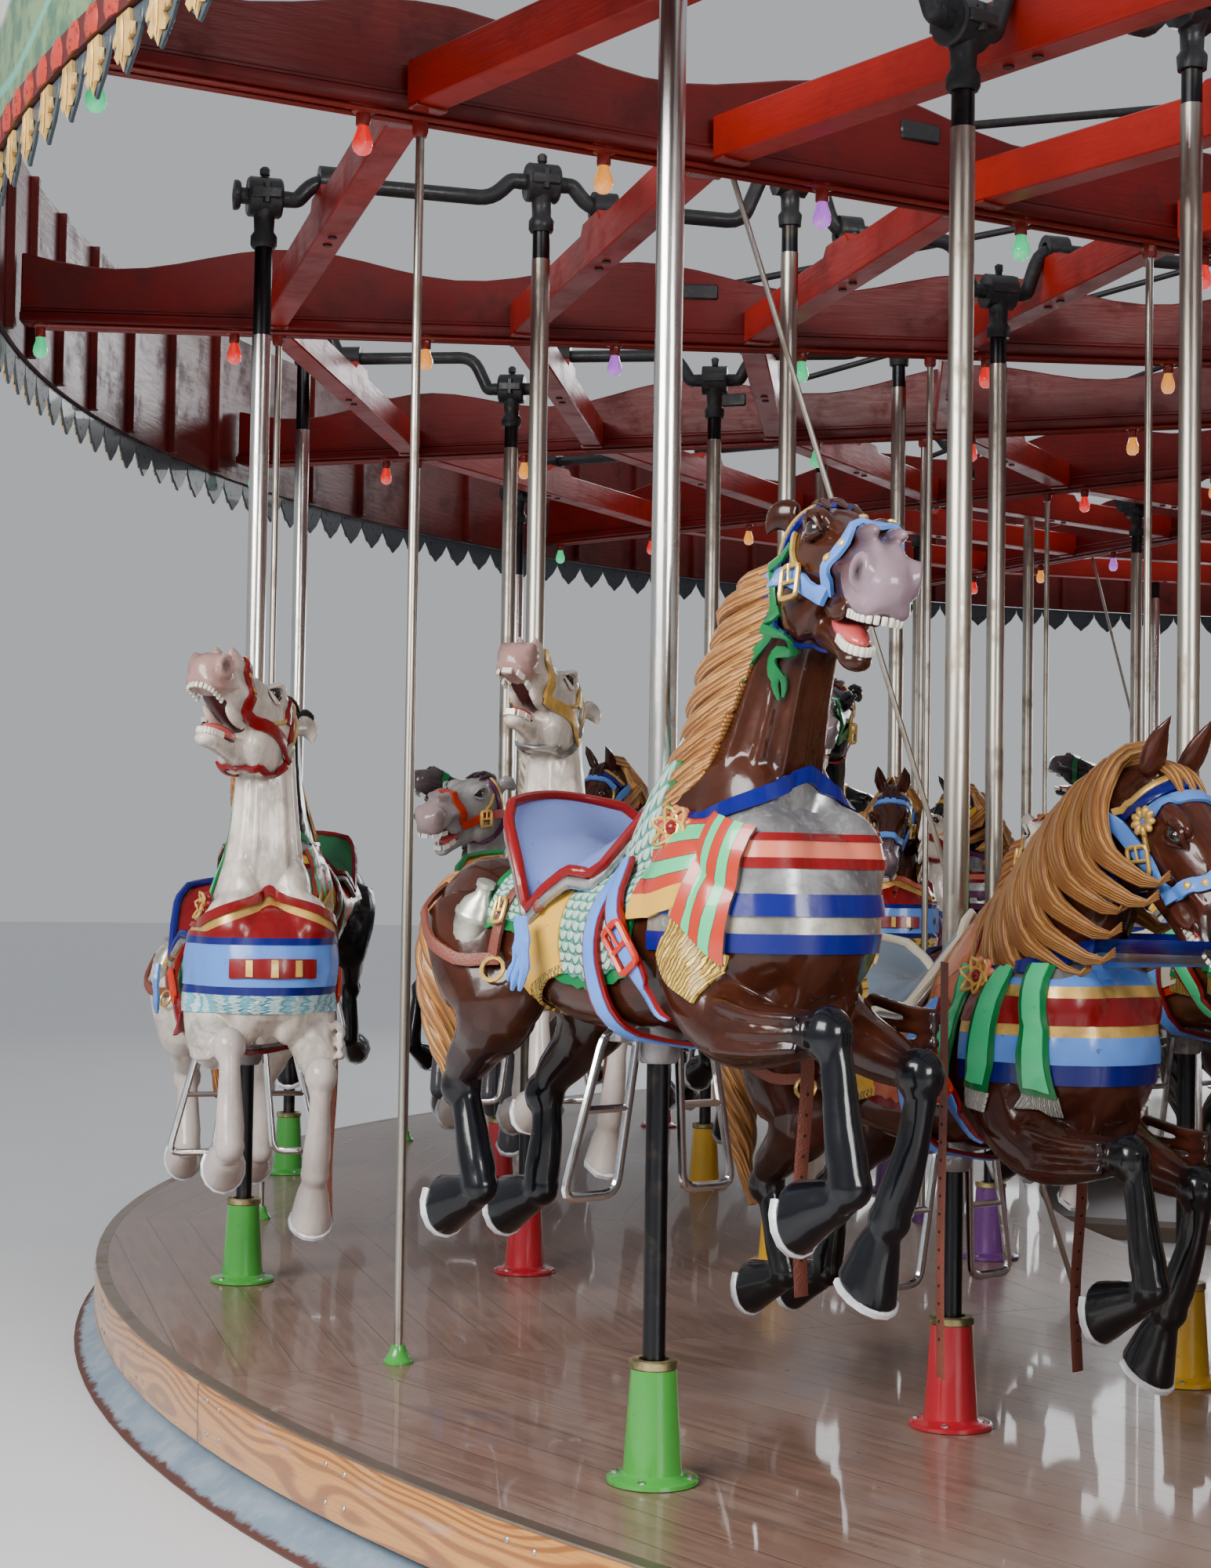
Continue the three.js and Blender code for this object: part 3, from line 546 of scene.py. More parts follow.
TREE = {
    "steel": polished("polished_steel", (0.74, 0.73, 0.70)),
    "dull_steel": polished("drawn_steel", (0.50, 0.46, 0.40), 0.22, 0.42, 0.6),
    "chrome": polished("stirrup_chrome", (0.80, 0.81, 0.84), 0.08, 0.22, 0.2, (9, 9, 9)),
    "cast": iron("cast_grey_iron", (0.16, 0.15, 0.155)),
    "iron": iron("oiled_iron"),
    "black_pole": polished("black_pole", (0.035, 0.035, 0.038), 0.22, 0.42, 0.25),
    "sweep": beam_paint("oxblood_sweep_paint", (0.135, 0.0035, 0.003), 0.55),
    # The stretchers' red is lifted well above the sweeps' red as painted light from below.
    "stretcher": beam_paint("lit_red_stretcher_paint", (0.43, 0.016, 0.010), 0.35),
    "socket": paint("red_socket_paint", (0.27, 0.022, 0.016)),
    "deck": deck_wood("worn_deck_boards"),
    "trim": polished("edge_trim_metal", (0.36, 0.27, 0.21), 0.3, 0.5, 0.5, (4, 4, 4)),
    "oak": oak_wood("golden_oak_fascia"),
    "kerb": kerb_coat("kerb_paint"),
    "nail": polished("nail_heads", (0.60, 0.59, 0.57), 0.25, 0.4),
    "rim_art": panel_art("rim_landscape_paint"),
    "rim_back": beam_paint("rim_back_paint", (0.13, 0.012, 0.010), 0.6),
    "bead": paint("red_bead_paint", (0.42, 0.035, 0.020), 0.35, 0.3, 0.3),
    # A near-black red behind the beads: painted shade for the notches between them.
    "bead_dark": paint("bead_notch_shade", (0.08, 0.010, 0.010), 0.5, 0.1),
    "leaf": leafed("gilt_leaf_paint", (0.74, 0.46, 0.14), 0.45, 0.35),
    "tooth": paint("slate_tooth_paint", (0.055, 0.075, 0.090), 0.45, 0.2, 0.25),
    "housing": beam_paint("housing_red_paint", (0.30, 0.022, 0.016), 0.3),
    "housing_field": paint("housing_cream_paint", (0.62, 0.53, 0.38), 0.4, 0.2),
    "gilt": leafed("gilt_moulding", (0.78, 0.55, 0.20), 0.35, 0.6),
    "sill": timber("sill_timber", (0.16, 0.12, 0.09)),
    "brass": worn_brass("worn_brass_ring"),
    "strap": leather("foot_strap_leather", (0.17, 0.045, 0.028)),
    # Near black for the strap's punched holes: painted shade where the holes go through.
    "hole": paint("strap_hole_shade", (0.012, 0.010, 0.010), 0.8, 0.0),
    "white": paint("painted_teeth", (0.80, 0.77, 0.66), 0.25, 0.6),
    "tongue": paint("painted_tongue", (0.62, 0.09, 0.09), 0.22, 0.7),
    "eye": paint("painted_eye", (0.020, 0.012, 0.010), 0.08, 1.0, 0.0),
    # Near-black red fill for the open mouth: painted shade of the mouth cavity.
    "mouth": paint("mouth_cavity_shade", (0.045, 0.012, 0.012), 0.4, 0.3),
    "shoe": leafed("silver_shoe_paint", (0.70, 0.72, 0.76), 0.35, 0.30),
}
PEDESTALS = [
    paint("pedestal_green", (0.045, 0.285, 0.040), 0.26, 0.5, 0.12),
    paint("pedestal_red", (0.36, 0.010, 0.020), 0.24, 0.5, 0.12),
    paint("pedestal_yellow", (0.62, 0.34, 0.010), 0.26, 0.5, 0.12),
    paint("pedestal_purple", (0.11, 0.030, 0.16), 0.28, 0.5, 0.12),
]
LAMPS = [
    lamp_glass("lamp_green", (0.010, 0.72, 0.26), 0.95),
    lamp_glass("lamp_red", (0.90, 0.012, 0.008), 0.95),
    lamp_glass("lamp_amber", (1.0, 0.36, 0.03), 0.95),
    lamp_glass("lamp_purple", (0.52, 0.13, 0.80), 0.95),
]
COATS = {
    "chocolate": coat_paint("chocolate_coat", (0.040, 0.0100, 0.0045), (0.0030, 0.0035, 0.0055), (0.21, 0.145, 0.175)),
    "cream": coat_paint("cream_coat", (0.58, 0.51, 0.45), (0.46, 0.40, 0.37), (0.50, 0.29, 0.26)),
    "black": coat_paint("black_coat", (0.006, 0.006, 0.008), (0.003, 0.003, 0.004), (0.15, 0.11, 0.12)),
    "chestnut": coat_paint("chestnut_coat", (0.060, 0.015, 0.008), (0.006, 0.006, 0.007), (0.020, 0.017, 0.019)),
    "bay": coat_paint("bay_coat", (0.100, 0.034, 0.013), (0.012, 0.010, 0.010), (0.10, 0.07, 0.06)),
    "grey": coat_paint("dappled_grey_coat", (0.36, 0.35, 0.35), (0.07, 0.07, 0.08), (0.30, 0.22, 0.22), 0.6),
}
GOLDEN_HAIR = hair_paint("golden_mane", (0.72, 0.36, 0.10), (0.27, 0.080, 0.014))
ORANGE_HAIR = hair_paint("orange_mane", (0.62, 0.25, 0.045), (0.30, 0.085, 0.012))
DARK_HAIR = hair_paint("dark_mane", (0.060, 0.042, 0.036), (0.012, 0.010, 0.010))
PALE_HAIR = hair_paint("pale_mane", (0.60, 0.54, 0.42), (0.28, 0.22, 0.14))
HUES = {
    "periwinkle": (0.155, 0.215, 0.52),
    "light_blue": (0.105, 0.270, 0.76),
    "royal_blue": (0.0035, 0.0065, 0.155),
    "green": (0.006, 0.155, 0.045),
    "mint": (0.060, 0.58, 0.24),
    "dark_red": (0.20, 0.004, 0.006),
    "orange_red": (0.50, 0.028, 0.008),
    "salmon": (0.68, 0.175, 0.110),
    "yellow": (0.72, 0.40, 0.055),
    "orange": (0.55, 0.20, 0.035),
    "cream": (0.60, 0.54, 0.42),
    "slate": (0.16, 0.21, 0.28),
    "plum": (0.12, 0.02, 0.09),
}
HUE = {name: paint("tack_" + name, colour) for name, colour in HUES.items()}
SILVER = leafed("silver_leaf", (0.36, 0.36, 0.37), 0.34, 0.80)
BRIGHT_SILVER = leafed("bright_silver_leaf", (0.50, 0.49, 0.42), 0.28, 0.75)
GOLD = leafed("gold_leaf", (0.74, 0.46, 0.12), 0.34, 0.60)
SCALES = scale_paint("scale_blanket_paint", (0.36, 0.60, 0.50), (0.06, 0.26, 0.20))
CHECKS = striped_paint("checked_blanket_paint", [(0.50, 0.10, 0.03), (0.56, 0.15, 0.05)], 14, 1)
SASH = striped_paint("striped_sash_paint", [HUES["orange_red"], HUES["mint"]], 5, 0)
BARS = striped_paint("barred_strap_paint", [HUES["orange_red"], HUES["mint"]], 5, 1)
GOLD_FRINGE = fringe_paint("gold_fringe_paint", (0.80, 0.54, 0.12), (0.20, 0.10, 0.01))
SILVER_FRINGE = fringe_paint("silver_fringe_paint", (0.66, 0.64, 0.58), (0.26, 0.24, 0.20))
AQUA_FRINGE = fringe_paint("aqua_fringe_paint", (0.50, 0.70, 0.74), (0.12, 0.42, 0.55))


# Shapes.


def as_mesh(shape):
    mesh = bpy.data.meshes.new("shape")
    shape.to_mesh(mesh)
    shape.free()
    return mesh


def outwards(shape):
    bmesh.ops.recalc_face_normals(shape, faces=shape.faces)
    return shape


class Piece:
    """Shapes gathered into one object, each in its own finish."""

    def __init__(self, name):
        self.name, self.sum, self.finishes = name, bmesh.new(), []

    def index_of(self, finish):
        if finish not in self.finishes:
            self.finishes.append(finish)
        return self.finishes.index(finish)

    def add(self, shape, finish, *places):
        """Adds a bmesh, or copies of a kept mesh, in a finish or in a list of them by face."""
        mesh = shape if isinstance(shape, bpy.types.Mesh) else as_mesh(shape)
        table = [self.index_of(f) for f in (finish if isinstance(finish, (list, tuple)) else [finish])]
        numbers = np.zeros(len(mesh.polygons), np.int32)
        mesh.polygons.foreach_get("material_index", numbers)
        numbers = np.array(table, np.int32)[np.minimum(numbers, len(table) - 1)]
        for place in places or (Matrix.Identity(4),):
            work = mesh.copy()
            work.transform(place)
            if place.determinant() < 0:
                work.flip_normals()
            work.polygons.foreach_set("material_index", numbers)
            self.sum.from_mesh(work)
            bpy.data.meshes.remove(work)
        return self

    def done(self, body, replaces=(), sharp=38):
        mesh = bpy.data.meshes.new(self.name)
        self.sum.to_mesh(mesh)
        self.sum.free()
        for finish in self.finishes:
            mesh.materials.append(finish)
        return placed(self.name, mesh, body, replaces, sharp)


def placed(name, mesh, body, replaces=(), sharp=38):
    mesh.shade_smooth()
    mesh.set_sharp_from_angle(angle=math.radians(sharp))
    made = bpy.data.objects.new(name, mesh)
    bpy.context.scene.collection.objects.link(made)
    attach(made, body)
    if replaces:
        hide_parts(*replaces)
    return made


def block(x0, x1, y0, y1, z0, z1, bevel=0.0, segments=2):
    shape = bmesh.new()
    size = at((x0 + x1) / 2, (y0 + y1) / 2, (z0 + z1) / 2) @ sized(x1 - x0, y1 - y0, z1 - z0)
    bmesh.ops.create_cube(shape, size=1, matrix=size)
    return eased(shape, bevel, segments) if bevel else shape


def eased(shape, width, segments=2, angle=40):
    sharp = [e for e in shape.edges if len(e.link_faces) == 2 and e.calc_face_angle() > math.radians(angle)]
    bmesh.ops.bevel(
        shape, geom=sharp, offset=width, offset_type="OFFSET", segments=segments, profile=0.5,
        affect="EDGES", material=-1, clamp_overlap=True,
    )
    return shape


def turning(profile, steps=24, sweep=FULL_TURN):
    """A profile of (radius, height) points turned about Z. It closes itself when its ends meet the axis."""
    shape = bmesh.new()
    points = [shape.verts.new((r, 0, z)) for r, z in profile]
    lines = [shape.edges.new(pair) for pair in zip(points, points[1:])]
    bmesh.ops.spin(
        shape, geom=points + lines, cent=(0, 0, 0), axis=(0, 0, 1), angle=sweep, steps=steps,
        use_merge=sweep > 6.28,
    )
    bmesh.ops.remove_doubles(shape, verts=shape.verts, dist=1e-5)
    return outwards(shape)


def ring_of(profile, steps):
    """A closed section of (radius, height) points turned right round."""
    shape = bmesh.new()
    points = [shape.verts.new((r, 0, z)) for r, z in profile]
    lines = [shape.edges.new(pair) for pair in zip(points, points[1:] + points[:1])]
    bmesh.ops.spin(
        shape, geom=points + lines, cent=(0, 0, 0), axis=(0, 0, 1), angle=FULL_TURN, steps=steps,
        use_merge=True,
    )
    bmesh.ops.remove_doubles(shape, verts=shape.verts, dist=1e-5)
    return outwards(shape)


def board(outline, thick, bevel=0.0, segments=1):
    """An outline of (x, z) points, extruded to both sides of the XZ plane."""
    shape = bmesh.new()
    face = shape.faces.new([shape.verts.new((x, -thick / 2, z)) for x, z in outline])
    grown = bmesh.ops.extrude_face_region(shape, geom=[face])["geom"]
    moved = [v for v in grown if isinstance(v, bmesh.types.BMVert)]
    bmesh.ops.translate(shape, vec=(0, thick, 0), verts=moved)
    outwards(shape)
    return eased(shape, bevel, segments) if bevel else shape


def tube(path, radii, sides=10, flat=1.0, closed=False, up=Z):
    """A round or flattened bar along a path, with lengthwise UVs in metres."""
    shape = bmesh.new()
    uv = shape.loops.layers.uv.new("UVMap")
    points = [Vector(p) for p in path]
    count = len(points)
    if not isinstance(radii, (list, tuple)):
        radii = [radii] * count
    rings, told, side, run = [], {}, None, 0.0
    for i, point in enumerate(points):
        ahead = points[(i + 1) % count] if closed else points[min(i + 1, count - 1)]
        behind = points[i - 1] if closed or i else points[0]
        along = (ahead - behind).normalized()
        if side is None:
            side = up if abs(along.dot(up)) < 0.9 else X
        side = (side - along * side.dot(along)).normalized()
        across = side.cross(along)
        seat = axes(across * radii[i], side * radii[i] * flat, along, point)
        ring = bmesh.ops.create_circle(shape, segments=sides, radius=1.0, matrix=seat)["verts"]
        run += (point - points[i - 1]).length if i else 0.0
        for k, vert in enumerate(ring):
            told[vert] = (k, run)
        rings.append(list({e for v in ring for e in v.link_edges}))
    for a, b in zip(rings, rings[1:] + (rings[:1] if closed else [])):
        bmesh.ops.bridge_loops(shape, edges=a + b)
    for face in shape.faces:
        spots = [told[loop.vert] for loop in face.loops]
        wraps = max(s[0] for s in spots) - min(s[0] for s in spots) > sides / 2
        for loop, (k, v) in zip(face.loops, spots):
            loop[uv].uv = ((sides if wraps and k == 0 else k) / sides, v)
    if not closed:
        for ring in (rings[0], rings[-1]):
            bmesh.ops.edgeloop_fill(shape, edges=ring)
    return outwards(shape)


def oval_loft(stations, sides=22):
    """A closed form through oval sections (x, y, z, half width, half depth), level across."""
    shape = bmesh.new()
    points = [Vector(s[:3]) for s in stations]
    rings = []
    for i, (*_, wide, deep) in enumerate(stations):
        along = (points[min(i + 1, len(points) - 1)] - points[max(i - 1, 0)]).normalized()
        across = (Y - along * along.y).normalized()
        seat = axes(across * wide, along.cross(across) * deep, along, points[i])
        ring = bmesh.ops.create_circle(shape, segments=sides, radius=1.0, matrix=seat)["verts"]
        rings.append(list({e for v in ring for e in v.link_edges}))
    for a, b in zip(rings, rings[1:]):
        bmesh.ops.bridge_loops(shape, edges=a + b)
    for ring in (rings[0], rings[-1]):
        bmesh.ops.edgeloop_fill(shape, edges=ring)
    return outwards(shape)


def ball(centre, radii, turn=0.0, level=3):
    """An egg shape, turned in the upright plane by an angle in degrees."""
    shape = bmesh.new()
    place = at(*centre) @ Matrix.Rotation(math.radians(-turn), 4, "Y") @ sized(*radii)
    bmesh.ops.create_icosphere(shape, subdivisions=level, radius=1.0, matrix=place)
    return shape


def curved(points, count):
    """Evenly spaced points on a smooth curve through the given ones."""
    pts = [Vector(p) for p in points]
    pts = [pts[0] * 2 - pts[1], *pts, pts[-1] * 2 - pts[-2]]
    fine = []
    for a, b, c, d in zip(pts, pts[1:], pts[2:], pts[3:]):
        for i in range(12):
            t = i / 12
            fine.append(
                0.5 * ((2 * b) + (c - a) * t + (2 * a - 5 * b + 4 * c - d) * t * t
                       + (3 * b - a - 3 * c + d) * t ** 3)
            )
    fine.append(pts[-2])
    runs = [0.0]
    for a, b in zip(fine, fine[1:]):
        runs.append(runs[-1] + (b - a).length)
    made = []
    for i in range(count):
        goal = runs[-1] * i / (count - 1)
        k = next(j for j in range(1, len(runs)) if runs[j] >= goal - 1e-9)
        share = (goal - runs[k - 1]) / max(runs[k] - runs[k - 1], 1e-9)
        made.append(fine[k - 1].lerp(fine[k], share))
    return made


def rounded(corners, radius, steps=4, closed=False):
    """A path through corners, each turned with a short arc."""
    pts = [Vector(c) for c in corners]
    made = []
    for i, point in enumerate(pts):
        if not closed and i in (0, len(pts) - 1):
            made.append(point)
            continue
        before, after = pts[i - 1], pts[(i + 1) % len(pts)]
        reach = min(radius, (before - point).length / 2.01, (after - point).length / 2.01)
        a = point + (before - point).normalized() * reach
        b = point + (after - point).normalized() * reach
        for k in range(steps + 1):
            t = k / steps
            made.append(a.lerp(point, t).lerp(point.lerp(b, t), t))
    return made


# Carved horses.

# Horse patterns face +X about their pole, in metres above the platform with the crank halfway.
TRUNK = [
    (-0.655, 0.985, 0.045, 0.050), (-0.625, 0.970, 0.120, 0.115), (-0.545, 0.955, 0.180, 0.160),
    (-0.42, 0.950, 0.208, 0.172), (-0.26, 0.952, 0.198, 0.155), (-0.08, 0.938, 0.198, 0.162),
    (0.10, 0.942, 0.206, 0.180), (0.26, 0.975, 0.208, 0.200), (0.38, 1.005, 0.196, 0.198),
    (0.46, 1.025, 0.162, 0.172), (0.51, 1.035, 0.105, 0.120), (0.53, 1.04, 0.040, 0.050),
]
NECKS = {
    "proud": [
        (0.14, 1.03, 0.150, 0.190), (0.215, 1.17, 0.142, 0.185), (0.275, 1.30, 0.112, 0.152),
        (0.320, 1.42, 0.094, 0.128), (0.365, 1.53, 0.084, 0.114), (0.415, 1.61, 0.080, 0.104),
        (0.455, 1.66, 0.062, 0.078),
    ],
    "flung": [
        (0.14, 1.03, 0.150, 0.190), (0.215, 1.17, 0.140, 0.180), (0.26, 1.30, 0.108, 0.148),
        (0.27, 1.42, 0.092, 0.126), (0.265, 1.54, 0.082, 0.112), (0.265, 1.64, 0.076, 0.100),
        (0.285, 1.71, 0.062, 0.080),
    ],
    "arched": [
        (0.14, 1.03, 0.150, 0.190), (0.25, 1.17, 0.142, 0.185), (0.34, 1.29, 0.114, 0.158),
        (0.41, 1.40, 0.096, 0.134), (0.475, 1.50, 0.084, 0.114), (0.54, 1.56, 0.076, 0.098),
        (0.59, 1.575, 0.060, 0.075),
    ],
}
# Where the head joins, how far the nose points down, turns outwards and tips over, and the jaw's drop.
HEADS = {
    "proud": ((0.456, 0.0, 1.668), 12, 26, -7, 12),
    "flung": ((0.300, 0.010, 1.640), -27, 37, -4, 17),
    "arched": ((0.575, 0.0, 1.555), 47, 9, 0, 2),
}
SKULL = [
    (-0.050, 0.022, 0.042, 0.050), (-0.015, 0.020, 0.070, 0.084), (0.05, 0.015, 0.082, 0.097),
    (0.12, 0.014, 0.083, 0.098), (0.19, 0.018, 0.070, 0.086), (0.26, 0.018, 0.055, 0.074),
    (0.32, 0.008, 0.049, 0.068), (0.37, -0.001, 0.052, 0.063), (0.405, -0.009, 0.050, 0.054),
    (0.430, -0.014, 0.036, 0.038), (0.440, -0.016, 0.018, 0.020),
]
JAW = [
    (0.04, -0.072, 0.052, 0.056), (0.11, -0.088, 0.044, 0.050), (0.18, -0.092, 0.034, 0.036),
    (0.24, -0.092, 0.029, 0.028), (0.29, -0.091, 0.031, 0.024), (0.325, -0.092, 0.032, 0.024),
    (0.345, -0.094, 0.024, 0.018), (0.354, -0.095, 0.010, 0.008),
]
LEGS = [
    ("fore", -1, [(0.27, 0.10, 0.98, 0.105), (0.33, 0.135, 0.845, 0.104), (0.42, 0.145, 0.790, 0.084),
                  (0.53, 0.140, 0.792, 0.070), (0.622, 0.130, 0.798, 0.056), (0.655, 0.130, 0.762, 0.042),
                  (0.668, 0.130, 0.66, 0.027), (0.686, 0.130, 0.565, 0.034), (0.690, 0.130, 0.535, 0.040),
                  (0.662, 0.130, 0.505, 0.034)], (0.640, 0.130, 0.498), (-1.0, 0.0, -0.16)),
    ("fore", 1, [(0.27, 0.10, 0.96, 0.105), (0.34, 0.130, 0.83, 0.094), (0.43, 0.135, 0.772, 0.074),
                 (0.52, 0.130, 0.742, 0.062), (0.60, 0.125, 0.715, 0.054), (0.612, 0.125, 0.66, 0.040),
                 (0.585, 0.125, 0.56, 0.027), (0.548, 0.125, 0.47, 0.034), (0.535, 0.125, 0.440, 0.040),
                 (0.518, 0.125, 0.405, 0.034)], (0.508, 0.125, 0.385), (-0.55, 0.0, -0.83)),
    ("hind", -1, [(-0.44, 0.09, 0.97, 0.150), (-0.40, 0.135, 0.87, 0.140), (-0.36, 0.145, 0.79, 0.108),
                  (-0.43, 0.135, 0.72, 0.086), (-0.495, 0.125, 0.665, 0.060), (-0.505, 0.120, 0.62, 0.050),
                  (-0.480, 0.120, 0.53, 0.031), (-0.452, 0.120, 0.44, 0.036), (-0.445, 0.120, 0.412, 0.041),
                  (-0.468, 0.120, 0.392, 0.035)], (-0.485, 0.120, 0.388), (-1.0, 0.0, -0.10)),
    ("hind", 1, [(-0.44, 0.09, 0.97, 0.150), (-0.41, 0.130, 0.86, 0.138), (-0.39, 0.140, 0.77, 0.106),
                 (-0.455, 0.135, 0.69, 0.084), (-0.51, 0.125, 0.635, 0.059), (-0.525, 0.120, 0.59, 0.049),
                 (-0.530, 0.120, 0.50, 0.031), (-0.545, 0.120, 0.41, 0.036), (-0.548, 0.120, 0.382, 0.041),
                 (-0.575, 0.120, 0.362, 0.035)], (-0.592, 0.120, 0.358), (-1.0, 0.0, -0.10)),
]
TAIL = [(-0.62, 0, 1.02), (-0.70, 0, 1.03), (-0.765, 0, 0.95), (-0.775, 0, 0.82), (-0.745, 0, 0.66), (-0.70, 0, 0.54)]
HOOF_REACH = 0.088
# The near mane's roots on the neck's side and its tips behind the crest.
MANE_ROOTS = [
    (0.415, -0.030, 1.672), (0.438, -0.060, 1.650), (0.440, -0.066, 1.617), (0.428, -0.072, 1.577),
    (0.404, -0.078, 1.534), (0.364, -0.086, 1.477), (0.338, -0.092, 1.426), (0.312, -0.098, 1.374),
    (0.288, -0.104, 1.322), (0.262, -0.108, 1.279), (0.225, -0.112, 1.245), (0.180, -0.112, 1.215),
]
MANE_TIPS = [
    (0.335, -0.020, 1.655), (0.275, -0.026, 1.626), (0.235, -0.030, 1.582), (0.212, -0.030, 1.528),
    (0.182, -0.030, 1.478), (0.160, -0.030, 1.422), (0.140, -0.030, 1.366), (0.114, -0.030, 1.308),
    (0.094, -0.034, 1.262), (0.080, -0.038, 1.222), (0.074, -0.044, 1.190), (0.076, -0.050, 1.166),
]
# The near horse's ribbons as (x, z) paths on the plane 0.09 right of the middle, with their widths.
RIBBONS = [
    ([(0.479, 1.692), (0.450, 1.635), (0.436, 1.584), (0.419, 1.534), (0.387, 1.501), (0.362, 1.468), (0.343, 1.426)],
     (0.014, 0.016, 0.019, 0.017, 0.015, 0.018, 0.021, 0.018, 0.015, 0.018, 0.020, 0.016, 0.010, 0.004)),
    ([(0.449, 1.573), (0.449, 1.548), (0.476, 1.529), (0.478, 1.507), (0.443, 1.488), (0.437, 1.463), (0.446, 1.445)],
     (0.020, 0.022, 0.024, 0.018, 0.014, 0.015, 0.020, 0.024, 0.022, 0.018, 0.022, 0.026, 0.028, 0.026)),
    ([(0.441, 1.450), (0.436, 1.432), (0.444, 1.408)], (0.015, 0.013, 0.011, 0.006)),
    ([(0.453, 1.452), (0.462, 1.434), (0.459, 1.412)], (0.015, 0.013, 0.011, 0.006)),
]
# The way towards a viewer at the horse's right front quarter.
QUARTER = Vector((0.767, -0.634, -0.100))


def head_place(pose):
    """Head space: X along the nose, Y to the horse's left, Z out of the forehead."""
    point, down, outward, tip, _ = HEADS[pose]
    turn = Matrix.Rotation(math.radians(-outward), 4, "Z") @ Matrix.Rotation(math.radians(down), 4, "Y")
    return at(*point) @ turn @ Matrix.Rotation(math.radians(tip), 4, "X")


def hoof(coronet, way):
    """A hoof from its coronet to its sole, toe low, and the shoe's U on the sole."""
    way = Vector(way).normalized()
    toe = (-Z + way * Z.dot(way)).normalized()
    if toe.x > 0.5 or way.z < -0.5:
        toe = (X - way * X.dot(way)).normalized()
    across = way.cross(toe)
    start = Vector(coronet)
    shape = bmesh.new()
    rings = []
    for reach, wide, long, slip in (
        (-0.030, 0.034, 0.036, -0.004), (0.0, 0.043, 0.046, 0.0), (0.02, 0.047, 0.051, 0.004),
        (HOOF_REACH - 0.006, 0.058, 0.068, 0.020), (HOOF_REACH, 0.056, 0.066, 0.021),
    ):
        seat = axes(across * wide, toe * long, way, start + way * reach + toe * slip)
        ring = bmesh.ops.create_circle(shape, segments=20, radius=1.0, matrix=seat)["verts"]
        rings.append(list({e for v in ring for e in v.link_edges}))
    for a, b in zip(rings, rings[1:]):
        bmesh.ops.bridge_loops(shape, edges=a + b)
    for ring in (rings[0], rings[-1]):
        bmesh.ops.edgeloop_fill(shape, edges=ring)
    sole = start + way * (HOOF_REACH + 0.004) + toe * 0.020
    bend = [math.radians(d) for d in range(-215, 36, 25)]
    iron_path = [sole + across * 0.053 * math.cos(a) - toe * 0.063 * math.sin(a) for a in bend]
    shoe = tube(iron_path, 0.0105, 6, 1.0, up=way)
    return outwards(shape), shoe


